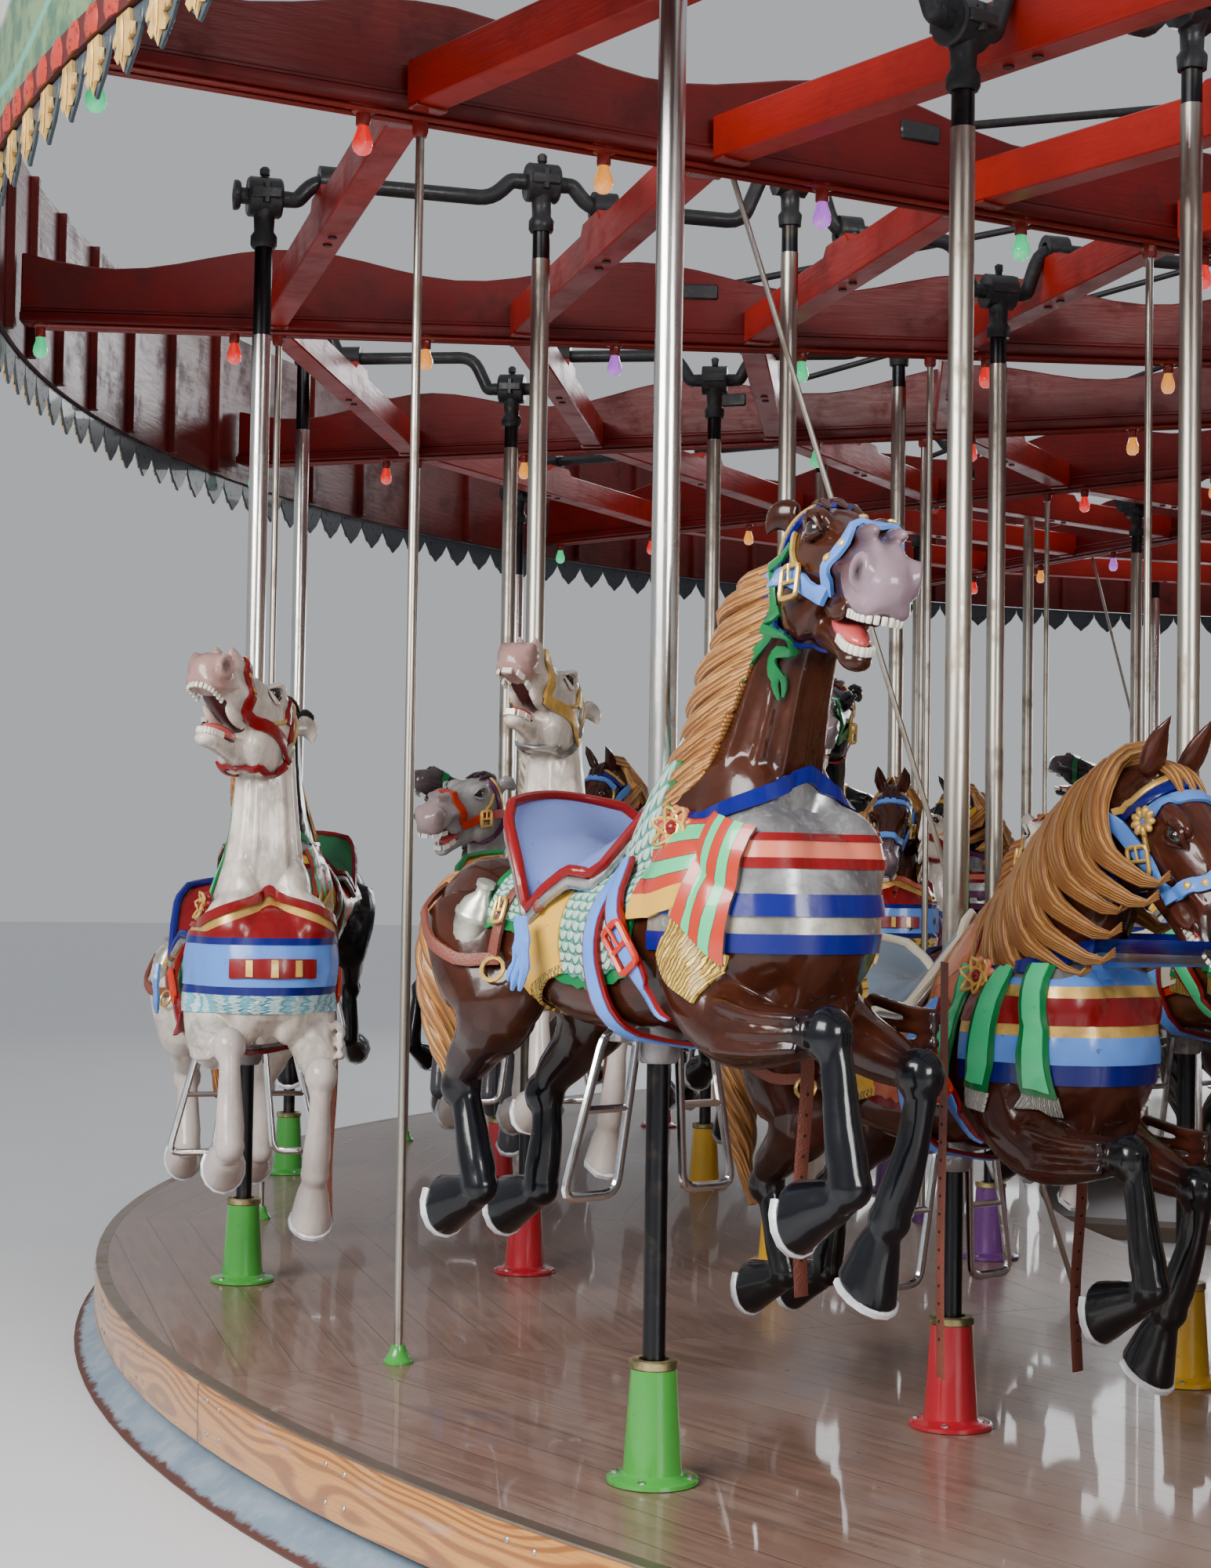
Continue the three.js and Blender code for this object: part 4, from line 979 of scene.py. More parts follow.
def carve(pose):
    """The carved body as one closed mesh of overlapping lumps, before they are joined."""
    lumps = Piece("carving")
    neck = NECKS[pose]
    body = [oval_loft([(x, 0, z, w, d) for x, z, w, d in TRUNK], 28)]
    body.append(oval_loft([(x, 0, z, w, d) for x, z, w, d in neck], 24))
    for side in (-1, 1):
        body += [
            ball((-0.43, 0.105 * side, 0.955), (0.170, 0.105, 0.160), 12),
            ball((-0.34, 0.135 * side, 0.83), (0.100, 0.078, 0.095)),
            ball((0.27, 0.115 * side, 1.00), (0.130, 0.098, 0.185), -14),
            ball((0.39, 0.085 * side, 0.975), (0.115, 0.088, 0.120)),
            ball((0.42, 0.060 * side, 0.87), (0.075, 0.055, 0.085)),
            ball((0.30, 0.065 * side, 1.20), (0.120, 0.070, 0.130), -20),
            ball((0.0, 0.10 * side, 0.875), (0.26, 0.10, 0.105)),
            ball((0.385, 0.090 * side, 1.105), (0.120, 0.092, 0.115)),
        ]
        for lean in (24, 47, 72):
            c, s = math.cos(math.radians(lean)), math.sin(math.radians(lean)) * side
            cord = [(x + (d - 0.003) * c, (w - 0.003) * s, z) for x, z, w, d in neck[1:-1]]
            body.append(tube(curved(cord, 12), 0.0125, 8, up=Y))
        for rise in (-0.030, 0.004, 0.036):
            cord = [(0.40, side * 0.200, 0.80 + rise * 1.3), (0.50, side * 0.198, 0.792 + rise),
                    (0.60, side * 0.176, 0.796 + rise * 0.8)]
            body.append(tube(curved(cord, 8), 0.0125, 8, up=Z))
    body.append(ball((0.02, 0, 1.09), (0.14, 0.085, 0.075), -8))
    for kind, side, chain, coronet, way in LEGS:
        points = [(x, y * side, z) for x, y, z, _ in chain]
        smooth = curved(points, 26)
        stops = [i / (len(chain) - 1) for i in range(len(chain))]
        radii = [float(np.interp(i / 25, stops, [c[3] for c in chain])) for i in range(26)]
        body.append(tube(smooth, radii, 14, up=Y))
        joint = chain[4] if kind == "fore" else chain[5]
        body.append(ball((joint[0] + (0.010 if kind == "fore" else -0.014), joint[1] * side, joint[2]),
                         (0.048, 0.045, 0.054)))
        for slip in (-0.016, 0.016):
            cord = [(x - (0.012 if kind == "fore" else 0.016), (y + slip) * side, z) for x, y, z, _ in chain[5:9]]
            body.append(tube(curved(cord, 10), 0.0135, 8, up=Y))
        heel = chain[8]
        body.append(ball((heel[0], heel[1] * side, heel[2]), (0.043, 0.040, 0.043)))
        body.append(hoof((coronet[0], coronet[1] * side, coronet[2]), way)[0])
    for shape in body:
        lumps.add(shape, TREE["hole"])
    head = [oval_loft([(t, 0, v, w, d) for t, v, w, d in SKULL], 24)]
    for side in (-1, 1):
        head += [
            ball((0.092, 0.046 * side, -0.062), (0.086, 0.038, 0.086)),
            ball((0.128, 0.062 * side, 0.082), (0.056, 0.022, 0.026), 8),
            ball((0.225, 0.053 * side, 0.006), (0.100, 0.012, 0.017), 5),
            ball((0.260, 0.026 * side, 0.070), (0.120, 0.018, 0.020), 10),
            ball((0.385, 0.036 * side, 0.012), (0.040, 0.024, 0.040), 20),
            ball((0.392, 0.024 * side, -0.040), (0.040, 0.028, 0.026)),
            ball((0.255, 0.036 * side, -0.062), (0.060, 0.013, 0.024)),
        ]
        rim = []
        for k in range(12):
            a = k * math.pi / 6
            rim.append((0.398 + 0.022 * math.cos(a), side * (0.052 - 0.006 * math.cos(a)), 0.016 + 0.027 * math.sin(a)))
        head.append(tube(rim, 0.0085, 8, closed=True, up=X))
        crease = [(0.320, 0.018 * side, 0.070), (0.375, 0.019 * side, 0.058), (0.420, 0.017 * side, 0.026),
                  (0.436, 0.014 * side, -0.008)]
        head.append(tube(curved(crease, 10), 0.010, 8, up=Y))
        for k in (0, 1):
            fold = [(0.330 - 0.03 * k, 0.050 * side, -0.020 + 0.03 * k),
                    (0.362 - 0.03 * k, 0.055 * side, -0.032 + 0.02 * k),
                    (0.395 - 0.02 * k, 0.050 * side, -0.046 + 0.01 * k)]
            head.append(tube(curved(fold, 8), 0.007, 6, up=X))
        root, tip = Vector((-0.015, 0.054 * side, 0.080)), Vector((-0.060, 0.098 * side, 0.034))
        if pose == "arched":
            root, tip = Vector((-0.010, 0.048 * side, 0.080)), Vector((-0.045, 0.060 * side, 0.225))
        belly = root.lerp(tip, 0.45) + Vector((-0.010, 0.008 * side, 0.014))
        head.append(tube(curved([root, belly, tip], 8), [0.026, 0.032, 0.034, 0.032, 0.027, 0.019, 0.010, 0.003], 10,
                         0.60, up=X))
    mesh = as_mesh(gathered(*head))
    lumps.add(mesh, TREE["hole"], head_place(pose))
    chin = oval_loft([(t, 0, v, w, d) for t, v, w, d in JAW], 18)
    lumps.add(chin, TREE["hole"], head_place(pose) @ jaw_place(pose))
    mesh = bpy.data.meshes.new("carving")
    lumps.sum.to_mesh(mesh)
    lumps.sum.free()
    return mesh


def remeshed(mesh, voxel, faces):
    """One skin over overlapping lumps, smoothed, then thinned to about so many triangles."""
    rough = bpy.data.objects.new("rough", mesh)
    bpy.context.scene.collection.objects.link(rough)
    skin = rough.modifiers.new("skin", "REMESH")
    skin.mode, skin.voxel_size = "VOXEL", voxel
    even = rough.modifiers.new("even", "SMOOTH")
    even.factor, even.iterations = 0.5, 5
    rough.data.update()
    bpy.context.view_layer.update()
    whole = bpy.data.meshes.new_from_object(rough.evaluated_get(bpy.context.evaluated_depsgraph_get()))
    dense = sum(len(p.vertices) - 2 for p in whole.polygons)
    even.iterations = 6
    thin = rough.modifiers.new("thin", "DECIMATE")
    thin.ratio = min(1.0, faces / dense)
    bpy.context.view_layer.update()
    made = bpy.data.meshes.new_from_object(rough.evaluated_get(bpy.context.evaluated_depsgraph_get()))
    bpy.data.objects.remove(rough)
    return whole, made


THIN_FROM = 28


def thinned(mesh, share):
    """The same shape with about that share of its triangles; small shapes stay whole."""
    if share >= 1 or len(mesh.polygons) < THIN_FROM:
        return mesh
    rough = bpy.data.objects.new("rough", mesh)
    bpy.context.scene.collection.objects.link(rough)
    rough.modifiers.new("thin", "DECIMATE").ratio = share
    bpy.context.view_layer.update()
    made = bpy.data.meshes.new_from_object(rough.evaluated_get(bpy.context.evaluated_depsgraph_get()))
    bpy.data.objects.remove(rough)
    return made


def masked(mesh, pose):
    """Stores the pattern's own coordinates and the masks that the coat paint reads."""
    count = len(mesh.vertices)
    co = np.zeros(count * 3, np.float32)
    mesh.vertices.foreach_get("co", co)
    mesh.attributes.new("carving", "FLOAT_VECTOR", "POINT").data.foreach_set("vector", co)
    points = co.reshape(-1, 3)
    socks = np.clip((0.80 - points[:, 2]) / 0.20, 0, 1) * (np.abs(points[:, 0]) > 0.30)
    socks = np.maximum(socks, np.clip((points[:, 0] - 0.54) / 0.08, 0, 1))
    socks = socks * (points[:, 2] < 0.92)
    back = np.array(head_place(pose).inverted())
    local = points @ back[:3, :3].T + back[:3, 3]
    upper = np.clip((local[:, 2] + 0.085) / 0.02, 0, 1)
    nose = np.clip((local[:, 0] - 0.305) / 0.07, 0, 1) * (np.abs(local[:, 1]) < 0.15) * (points[:, 2] > 1.2) * upper
    # deep: painted shade in the nostril pits and, at six tenths, in the hollows of the ears.
    deep = np.zeros(count, np.float32)
    for side in (-1, 1):
        gap = (local - np.array((0.400, 0.050 * side, 0.014))) / np.array((0.017, 0.014, 0.019))
        deep = np.maximum(deep, np.clip(1.6 - np.sqrt((gap ** 2).sum(1)), 0, 1))
        gap = (local - np.array((-0.03, 0.085 * side, 0.07))) / np.array((0.025, 0.016, 0.03))
        deep = np.maximum(deep, 0.6 * np.clip(1.5 - np.sqrt((gap ** 2).sum(1)), 0, 1))
    zones = np.stack([socks, nose, deep], 1).astype(np.float32).ravel()
    mesh.attributes.new("zones", "FLOAT_VECTOR", "POINT").data.foreach_set("vector", zones)
    return mesh


def laid(tree, aim, columns, rows, lift=0.003, thick=0.006, level=False):
    """A painted sheet carved on the body: aim(u, v) gives the ray that finds each point."""
    shape = bmesh.new()
    uv = shape.loops.layers.uv.new("UVMap")
    grid = bmesh.ops.create_grid(shape, x_segments=columns, y_segments=rows, size=0.5)["verts"]
    told = {}
    for vert in grid:
        u, v = vert.co.x + 0.5, vert.co.y + 0.5
        told[vert] = (u, v)
        start, way = aim(u, v)
        hit, normal = struck(tree, start, way)
        vert.co = hit + (flattened(normal) if level else normal) * lift
    for face in shape.faces:
        for loop in face.loops:
            loop[uv].uv = told[loop.vert]
    facing = sum((f.normal.dot((f.calc_center_median() - Vector((0.1, 0, 1.0)))) for f in shape.faces))
    if facing < 0:
        bmesh.ops.reverse_faces(shape, faces=shape.faces)
    shape.normal_update()
    grown = bmesh.ops.extrude_face_region(shape, geom=shape.faces[:])
    for vert in [v for v in grown["geom"] if isinstance(v, bmesh.types.BMVert)]:
        vert.co += (flattened(vert.normal) if level else vert.normal) * thick
    return outwards(shape)


def from_edges(side, low, high):
    """Rays from one side onto a patch between two lines of (x, z) points: u along, v up."""

    def along(line, u):
        stops = [i / (len(line) - 1) for i in range(len(line))]
        return [float(np.interp(u, stops, [point[k] for point in line])) for k in (0, 1)]

    def aim(u, v):
        (ax, az), (bx, bz) = along(low, u), along(high, u)
        return Vector((ax + (bx - ax) * v, side * 0.6, az + (bz - az) * v)), Vector((0, -side, 0))

    return aim


def from_side(side, corners):
    """Rays from one side onto a patch given by four (x, z) corners: u across, v up."""
    return from_edges(side, corners[:2], corners[:1:-1])


def round_chest(low, high, reach):
    """Rays towards an upright line inside the chest: u from one shoulder to the other, v up."""

    def aim(u, v):
        turn = math.radians(reach) * (2 * u - 1)
        foot, top = low(turn), high(turn)
        z = foot + (top - foot) * v
        out = Vector((math.cos(turn), math.sin(turn), 0))
        return Vector((CHEST_CENTRE, 0, z)) + out * 0.8, -out

    return aim


def swung(aim, turn):
    """The same rays, swung about the upright line inside the chest."""
    back, centre = turned(-turn), Vector((CHEST_CENTRE, 0, 0))

    def aim_aside(u, v):
        start, way = aim(u, v)
        return (start - centre) @ back.to_3x3() + centre, way @ back

    return aim_aside


def over_back(back, front, reach, height=0.95):
    """Rays towards the barrel's middle line: u forwards, v from the right side over to the left."""

    def aim(u, v):
        turn = (2 * v - 1) * math.radians(reach(u))
        x = back(v) + (front(v) - back(v)) * u
        out = Vector((0, math.sin(turn), math.cos(turn)))
        return Vector((x, 0, height)) + out * 0.8, -out

    return aim


def band(tree, rays, width, lift=0.004, thick=0.007):
    """A strap drawn taut over the carving along a list of rays, with its length in metres as V."""
    found = [struck(tree, start, way) for start, way in rays]
    hits, normals = [hit for hit, _ in found], [normal for _, normal in found]
    for _ in range(8):
        for i in range(1, len(hits) - 1):
            slack = ((hits[i - 1] + hits[i + 1]) / 2 - hits[i]).dot(normals[i])
            if slack > 0:
                hits[i] = hits[i] + normals[i] * slack
    shape = bmesh.new()
    uv = shape.loops.layers.uv.new("UVMap")
    rings, told, run = [], {}, 0.0
    corners = [(-0.5, -0.6), (0.5, -0.6), (0.5, 0.7), (0.34, 1.0), (-0.34, 1.0), (-0.5, 0.7)]
    last = len(hits) - 1
    for i, hit in enumerate(hits):
        along = (hits[min(i + 1, last)] - hits[max(i - 1, 0)]).normalized()
        normal = (normals[max(i - 1, 0)] + normals[i] * 2 + normals[min(i + 1, last)]).normalized()
        across = along.cross(normal).normalized()
        out = across.cross(along).normalized()
        out = out if out.dot(normal) > 0 else -out
        wide = width[i] if isinstance(width, list) else width
        run += (hit - hits[i - 1]).length if i else 0.0
        ring = [shape.verts.new(hit + across * wide * a + out * (lift + thick * b)) for a, b in corners]
        for vert, (a, _) in zip(ring, corners):
            told[vert] = (a + 0.5, run)
        rings.append([shape.edges.new((ring[k], ring[(k + 1) % 6])) for k in range(6)])
    for a, b in zip(rings, rings[1:]):
        bmesh.ops.bridge_loops(shape, edges=a + b)
    for ring in (rings[0], rings[-1]):
        bmesh.ops.edgeloop_fill(shape, edges=ring)
    for face in shape.faces:
        for loop in face.loops:
            loop[uv].uv = told[loop.vert]
    return outwards(shape)


def side_ray(side, x, z):
    """A ray from well outside one flank, level and straight across."""
    return (x, side * 0.6, z), (0, -side, 0)


def side_rays(side, path, count):
    return [side_ray(side, p.x, p.z) for p in curved([(x, 0, z) for x, z in path], count)]


def circle(radius, count, height=0.0):
    turns = [k * math.pi / (count / 2) for k in range(count)]
    return [Vector((radius * math.cos(a), radius * math.sin(a), height)) for a in turns]


def hoop_rays(place, centre, turns, count=26, reach=0.5):
    """Rays inwards round a line: (angle, shift) stops, with angles in degrees from the top."""
    stops = [t[0] for t in turns]
    rays = []
    for i in range(count):
        angle = stops[0] + (stops[-1] - stops[0]) * i / (count - 1)
        shift = float(np.interp(angle, stops, [t[1] for t in turns]))
        turn = math.radians(angle)
        out = Vector((0, math.sin(turn), math.cos(turn)))
        base = Vector(centre) + X * shift
        rays.append((place @ (base + out * reach), (place.to_3x3() @ -out)))
    return rays


def stud(radius, height=0.5):
    shape = bmesh.new()
    bmesh.ops.create_uvsphere(shape, u_segments=8, v_segments=5, radius=radius, matrix=sized(1, 1, height))
    return shape


def buckle(wide, tall, bar):
    """A rectangular buckle with a bar across its middle, lying in XY."""
    corners = [(-wide, -tall, 0), (wide, -tall, 0), (wide, tall, 0), (-wide, tall, 0)]
    loop = tube(rounded(corners, 0.01, 2, True), bar, 6, closed=True)
    return gathered(loop, tube([(-wide, 0, 0), (wide, 0, 0)], bar * 0.8, 6),
                    tube([(0, 0, 0.002), (0, tall * 1.05, 0.006)], bar * 0.6, 6))


def on_skin(tree, ray, spin=0.0, lift=0.012):
    """A place on the carving with Z out of it."""
    hit, normal = struck(tree, *ray)
    return at(*(hit + normal * lift)) @ normal.to_track_quat("Z", "Y").to_matrix().to_4x4() @ turned(spin)


def saddle(fine):
    """A deep seat with a high cantle, side points and a raised pommel, and its rolled rim."""
    columns, rows = (28, 20) if fine else (12, 8)
    stops = [0.0, 0.10, 0.25, 0.40, 0.55, 0.70, 0.86, 0.94, 1.0]
    tops = [1.245, 1.215, 1.165, 1.143, 1.140, 1.150, 1.205, 1.270, 1.305]
    halves = [0.150, 0.185, 0.200, 0.212, 0.206, 0.192, 0.168, 0.085, 0.034]
    edges = [1.225, 1.185, 1.105, 1.004, 1.050, 1.086, 1.078, 1.180, 1.245]

    def point(u, v):
        top, half, edge = (float(np.interp(u, stops, k)) for k in (tops, halves, edges))
        x = -0.36 + 0.41 * u + 0.05 * (1 - u) * v * v
        return Vector((x, half * v, top - (top - edge) * abs(v) ** 1.8))

    shape = bmesh.new()
    grid = bmesh.ops.create_grid(shape, x_segments=columns, y_segments=rows, size=0.5)["verts"]
    for vert in grid:
        vert.co = point(vert.co.x + 0.5, vert.co.y * 2)
    shape.normal_update()
    grown = bmesh.ops.extrude_face_region(shape, geom=shape.faces[:])
    bmesh.ops.translate(shape, vec=(0, 0, -0.036),
                        verts=[v for v in grown["geom"] if isinstance(v, bmesh.types.BMVert)])
    outwards(shape)
    count = 24 if fine else 12
    edge = [point(0, v / 8 - 1) for v in range(0, 17)]
    edge += [point(u / count, 1) for u in range(1, count + 1)]
    edge += [point(1, 1 - v / 2) for v in range(1, 4)]
    edge += [point(1 - u / count, -1) for u in range(0, count)]
    rim = tube(edge, 0.0125, 8 if fine else 5, closed=True)
    inner = tube([p + Vector((0, 0, -0.022)) for p in edge], 0.0115, 8 if fine else 5, closed=True)
    return shape, rim, inner


def twisted_hair(path, thick, strands, turns, fine):
    """A rope of carved locks wound round a path, thick in the middle."""
    count = 44 if fine else 20
    core = curved(path, count)
    shapes = []
    for s in range(strands):
        points, radii = [], []
        for i, point in enumerate(core):
            t = i / (count - 1)
            along = (core[min(i + 1, count - 1)] - core[max(i - 1, 0)]).normalized()
            across = along.cross(Y).normalized()
            swell = 0.45 + 0.55 * math.sin(math.pi * min(1, t * 1.15 + 0.08)) ** 0.6
            swell *= 1 - 0.55 * max(0, t - 0.75) / 0.25
            angle = FULL_TURN * (s / strands + turns * t)
            away = (across * math.cos(angle) + Y * math.sin(angle)) * thick * 0.62 * swell
            points.append(point + away)
            radii.append(thick * 0.60 * swell)
        shapes.append(tube(points, radii, 8 if fine else 5, up=Y))
    return shapes


CRESTS = {
    "proud": [(0.365, -0.01, 1.655), (0.285, -0.010, 1.60), (0.235, -0.012, 1.50), (0.195, -0.012, 1.40),
              (0.135, -0.010, 1.29), (0.085, -0.005, 1.22)],
    "flung": [(0.215, 0.0, 1.73), (0.155, 0, 1.64), (0.140, 0, 1.52), (0.130, 0, 1.40), (0.095, 0, 1.29),
              (0.045, 0.0, 1.19)],
    "arched": [(0.565, 0.0, 1.655), (0.47, 0, 1.60), (0.385, 0, 1.52), (0.305, 0, 1.42), (0.20, 0, 1.32),
               (0.10, 0.0, 1.22)],
}

# Chest bands from the foot up: (height at the front, finish role).
CHESTS = {
    "striped": [(0.937, "deep"), (0.973, "bright"), (1.006, "deep"), (1.047, "metal"), (1.094, "dark"),
                (1.114, "warm"), (1.146, "dark"), (1.160, "metal"), (1.258, "deep"), (1.289, None)],
    "panelled": [(0.878, "fringe_ground"), (0.930, "deep"), (0.953, "field"), (1.070, "deep"),
                 (1.089, "dark"), (1.180, "gold"), (1.207, "warm"), (1.236, None)],
    "tabbed": [(0.940, "deep"), (0.985, "strap"), (1.045, "gold"), (1.070, "dark"), (1.130, "gold"),
               (1.155, "strap"), (1.215, "metal"), (1.240, "deep"), (1.275, None)],
}
# The height above which a chest's bands follow its collar's peak, and how far the collar falls aside.
COLLAR_FLOORS = {"striped": 1.160, "panelled": 1.089, "tabbed": 1.155}
COLLAR_FALLS = {"striped": 0.115, "panelled": 0.150, "tabbed": 0.100}
CHEST_CENTRE = 0.20
# The bottle behind the saddle, as (radius, height).
FLASK = [
    (0, 0.0), (0.030, 0.0), (0.036, 0.010), (0.037, 0.050), (0.040, 0.056), (0.043, 0.10), (0.045, 0.135),
    (0.048, 0.139), (0.048, 0.147), (0.044, 0.151), (0.036, 0.172), (0.018, 0.190), (0.016, 0.204),
    (0.020, 0.207), (0.020, 0.218), (0.0, 0.220),
]
COARSENESS = {"near": 1, "middle": 2, "far": 3}


def dress_trunk(tree, design, detail):
    """The carved and painted harness of the trunk, as (shape, role) pairs."""
    made = []
    fine, coarse = detail == "near", COARSENESS[detail]

    def sheet(aim, columns, rows, role, lift=0.003, thick=0.006, level=False):
        grid = max(2, columns // coarse), max(1, rows // coarse)
        made.append((laid(tree, aim, *grid, lift, thick, level), role))

    def drape(inset):
        """The blanket's rays, its outline drawn in by an inset."""
        stops, angles = [0, 0.22, 0.36, 0.52, 0.80, 1], [84, 86, 98, 112, 116, 106]

        def reach(u):
            return float(np.interp(u, stops, angles)) - inset * 260 + 2.5 * math.sin(u * 40) ** 2

        def front(v):
            return 0.150 - inset + 0.055 * (1 - abs(2 * v - 1)) ** 0.8

        return over_back(lambda v: -0.335 + inset, front, reach)

    sheet(drape(0.0), 28, 40, "blanket_edge", 0.002, 0.006)
    sheet(drape(0.020), 28, 40, "blanket", 0.006, 0.007)
    seat, rim, under = saddle(fine)
    made += [(seat, "saddle"), (rim, "saddle_rim"), (under, "rim_metal")]
    for side in (-1, 1):
        if fine:
            sheet(from_side(side, [(-0.232, 0.840), (-0.056, 0.896), (-0.070, 1.075), (-0.170, 1.080)]), 10, 14,
                  "flap", 0.017, 0.006)
            hem = [(-0.236, 0.795), (-0.195, 0.812), (-0.150, 0.842), (-0.105, 0.868), (-0.052, 0.880)]
            sheet(from_edges(side, hem, [(-0.233, 0.845), (-0.052, 0.902)]), 12, 3, "flap_fringe", 0.016, 0.007)
    bands, floor, fall = CHESTS[design], COLLAR_FLOORS[design], COLLAR_FALLS[design]

    def line(height, gap=0.0):
        """A band's edge: level below, falling away from a peak at the front above."""
        if height > floor + 0.03:
            return lambda turn: max(height - fall * abs(math.sin(turn)) ** 1.15, floor + 0.003 + gap)
        return lambda turn: height

    for (foot, role), (top, _) in zip(bands, bands[1:]):
        if role == "fringe_ground":
            sheet(round_chest(line(foot), line(top), 84), 64, 2, "fringe", 0.006, 0.008, True)
            continue
        last = top == bands[-1][0]
        rise = 0.004 + (0.008 if last else 0.003 if role in ("deep", "dark") else 0.0)
        order = [height for height, _ in bands].index(foot)
        gap = 0.012 * max(0, order - (len(bands) - 4))
        aim = round_chest(line(foot, gap), line(top, gap + 0.012), 92 if foot > 1.1 else 86)
        sheet(aim, 64, 4 if top - foot > 0.05 else 1, role, rise, 0.006, True)
    if design == "striped":
        for side in (-1, 1):
            low = [(0.158, 1.030), (0.240, 1.038), (0.330, 1.062)]
            high = [(0.175, 1.190), (0.262, 1.192), (0.360, 1.196)]
            sheet(from_edges(side, low, high), 12, 12, "bars", 0.010, 0.006)
            low = [(0.157, 0.990), (0.235, 0.998), (0.320, 1.022)]
            high = [(0.158, 1.034), (0.240, 1.042), (0.330, 1.066)]
            sheet(from_edges(side, low, high), 12, 3, "yellow", 0.011, 0.006)
            corners = [(0.303, 1.000), (0.405, 0.920), (0.458, 1.160), (0.362, 1.186)]
            sheet(from_side(side, corners), 12, 14, "sash", 0.015, 0.009)
            low = [(0.258, 0.930), (0.290, 0.885), (0.325, 0.862), (0.362, 0.842)]
            high = [(0.300, 1.010), (0.410, 0.930)]
            sheet(from_edges(side, low, high), 14, 8, "fringe", 0.012, 0.012)
            corners = [(0.298, 1.004), (0.408, 0.922), (0.414, 0.935), (0.302, 1.018)]
            sheet(from_side(side, corners), 12, 1, "gold", 0.022, 0.006)
    if design == "panelled":
        sheet(round_chest(line(0.978), line(1.029), 20), 14, 2, "dark", 0.011, 0.005)
        for middle in (-11, 0, 11):
            mark = round_chest(line(0.982), line(1.025), 1.6)
            sheet(swung(mark, math.radians(middle)), 3, 2, "gold", 0.015, 0.005)
    if design == "tabbed":
        for start, lean in ((0.16, -0.03), (0.27, -0.01), (0.375, 0.02)):
            for side in (-1, 1):
                corners = [(start + lean - 0.015, 0.925), (start + lean + 0.055, 0.915), (start + 0.06, 1.19),
                           (start, 1.19)]
                sheet(from_side(side, corners), 5, 10, "tab_edge", 0.012, 0.005)
                insets = (0.012, 0.014), (-0.012, 0.014), (-0.012, 0), (0.012, 0)
                inner = [(a + da, b + db) for (a, b), (da, db) in zip(corners, insets)]
                sheet(from_side(side, inner), 4, 10, "tab", 0.017, 0.005)
                foot = [(corners[0][0] - 0.012, 0.885), (corners[1][0] - 0.008, 0.875), corners[1], corners[0]]
                sheet(from_side(side, foot), 6, 3, "fringe", 0.013, 0.007)
    hoop = [(44, 0.085), (80, 0.060), (105, 0.056), (140, 0.082), (180, 0.120), (220, 0.082), (255, 0.056),
            (280, 0.060), (316, 0.085)]
    rays = hoop_rays(Matrix.Identity(4), (0.0, 0, 0.95), hoop, 48 if fine else 24, 0.7)
    made.append((band(tree, rays, 0.050, 0.018, 0.006), "girth_edge"))
    made.append((band(tree, rays, 0.034, 0.022, 0.006), "girth"))
    for side in (-1, 1):
        path = [(0.096, 1.095), (0.116, 1.020), (0.177, 0.931), (0.224, 0.870), (0.270, 0.838), (0.325, 0.815)]
        for wide, lift, role in ((0.050, 0.024, "girth_edge"), (0.033, 0.028, "strap")):
            taper = [wide * (1 - 0.25 * max(0, k - 13)) for k in range(17)] + [0.004]
            made.append((band(tree, side_rays(side, path, 18), taper, lift, 0.006), role))
        if fine:
            spot = on_skin(tree, side_ray(side, 0.168, 0.943), 0.0, 0.034)
            made.append((moved(buckle(0.027, 0.046, 0.0075), spot @ turned(-0.60 * side)), "buckle"))
            spot = on_skin(tree, side_ray(side, 0.232, 1.165), 0.3, 0.020)
            made.append((moved(rosette(0.046), spot), "warm"))
            made.append((moved(stud(0.016, 0.8), spot @ at(0, 0, 0.010)), "dark"))
            for spin, reach in ((0.5, 0.048), (1.5, 0.040), (2.6, 0.044)):
                cord = [(reach * math.cos(a * math.pi / 6), 0.016 * math.sin(a * math.pi / 6),
                         0.016 + 0.006 * math.cos(a)) for a in range(12)]
                made.append((moved(tube(cord, 0.0042, 6, closed=True), spot @ turned(spin)), "gold"))
            knob = on_skin(tree, side_ray(side, -0.130, 1.008), 0.0, 0.030)
            made.append((moved(ball((0, 0, 0), (0.016, 0.026, 0.012), level=2), knob), "leather"))
            tassel = [(-0.128, side * 0.250, 0.990), (-0.118, side * 0.256, 0.950), (-0.124, side * 0.254, 0.905),
                      (-0.150, side * 0.250, 0.862)]
            for k in range(4):
                drifts = [((k - 1.5) * 0.010 * (0.5 + i * 0.25), side * 0.004, -0.006 * (k % 2) * i) for i in range(4)]
                cord = curved([Vector(p) + Vector(drift) for p, drift in zip(tassel, drifts)], 10)
                knots = [0.0095 + 0.0022 * math.sin(i * 1.9 + k) for i in range(9)]
                made.append((tube(cord, knots + [0.004], 6), "tassel"))
    if fine:
        for side in (-1, 1):
            back = [(-0.222, 1.105), (-0.254, 1.029), (-0.270, 0.955), (-0.290, 0.915)]
            made.append((band(tree, side_rays(side, back, 11), 0.026, 0.014, 0.006), "leather"))
            crupper = [(-0.290, 0.905), (-0.345, 0.895), (-0.40, 0.915), (-0.46, 0.95), (-0.52, 1.00), (-0.57, 1.04)]
            made.append((band(tree, side_rays(side, crupper, 14), 0.026, 0.012, 0.006), "leather"))
            clasp = on_skin(tree, side_ray(side, -0.262, 0.992), 0.1, 0.026)
            made.append((moved(buckle(0.015, 0.026, 0.0045), clasp), "gold"))
            spot = on_skin(tree, side_ray(side, -0.292, 0.872), 0.0, 0.026)
            made.append((moved(tube(circle(0.025, 12), 0.0050, 6, closed=True), spot), "gold"))
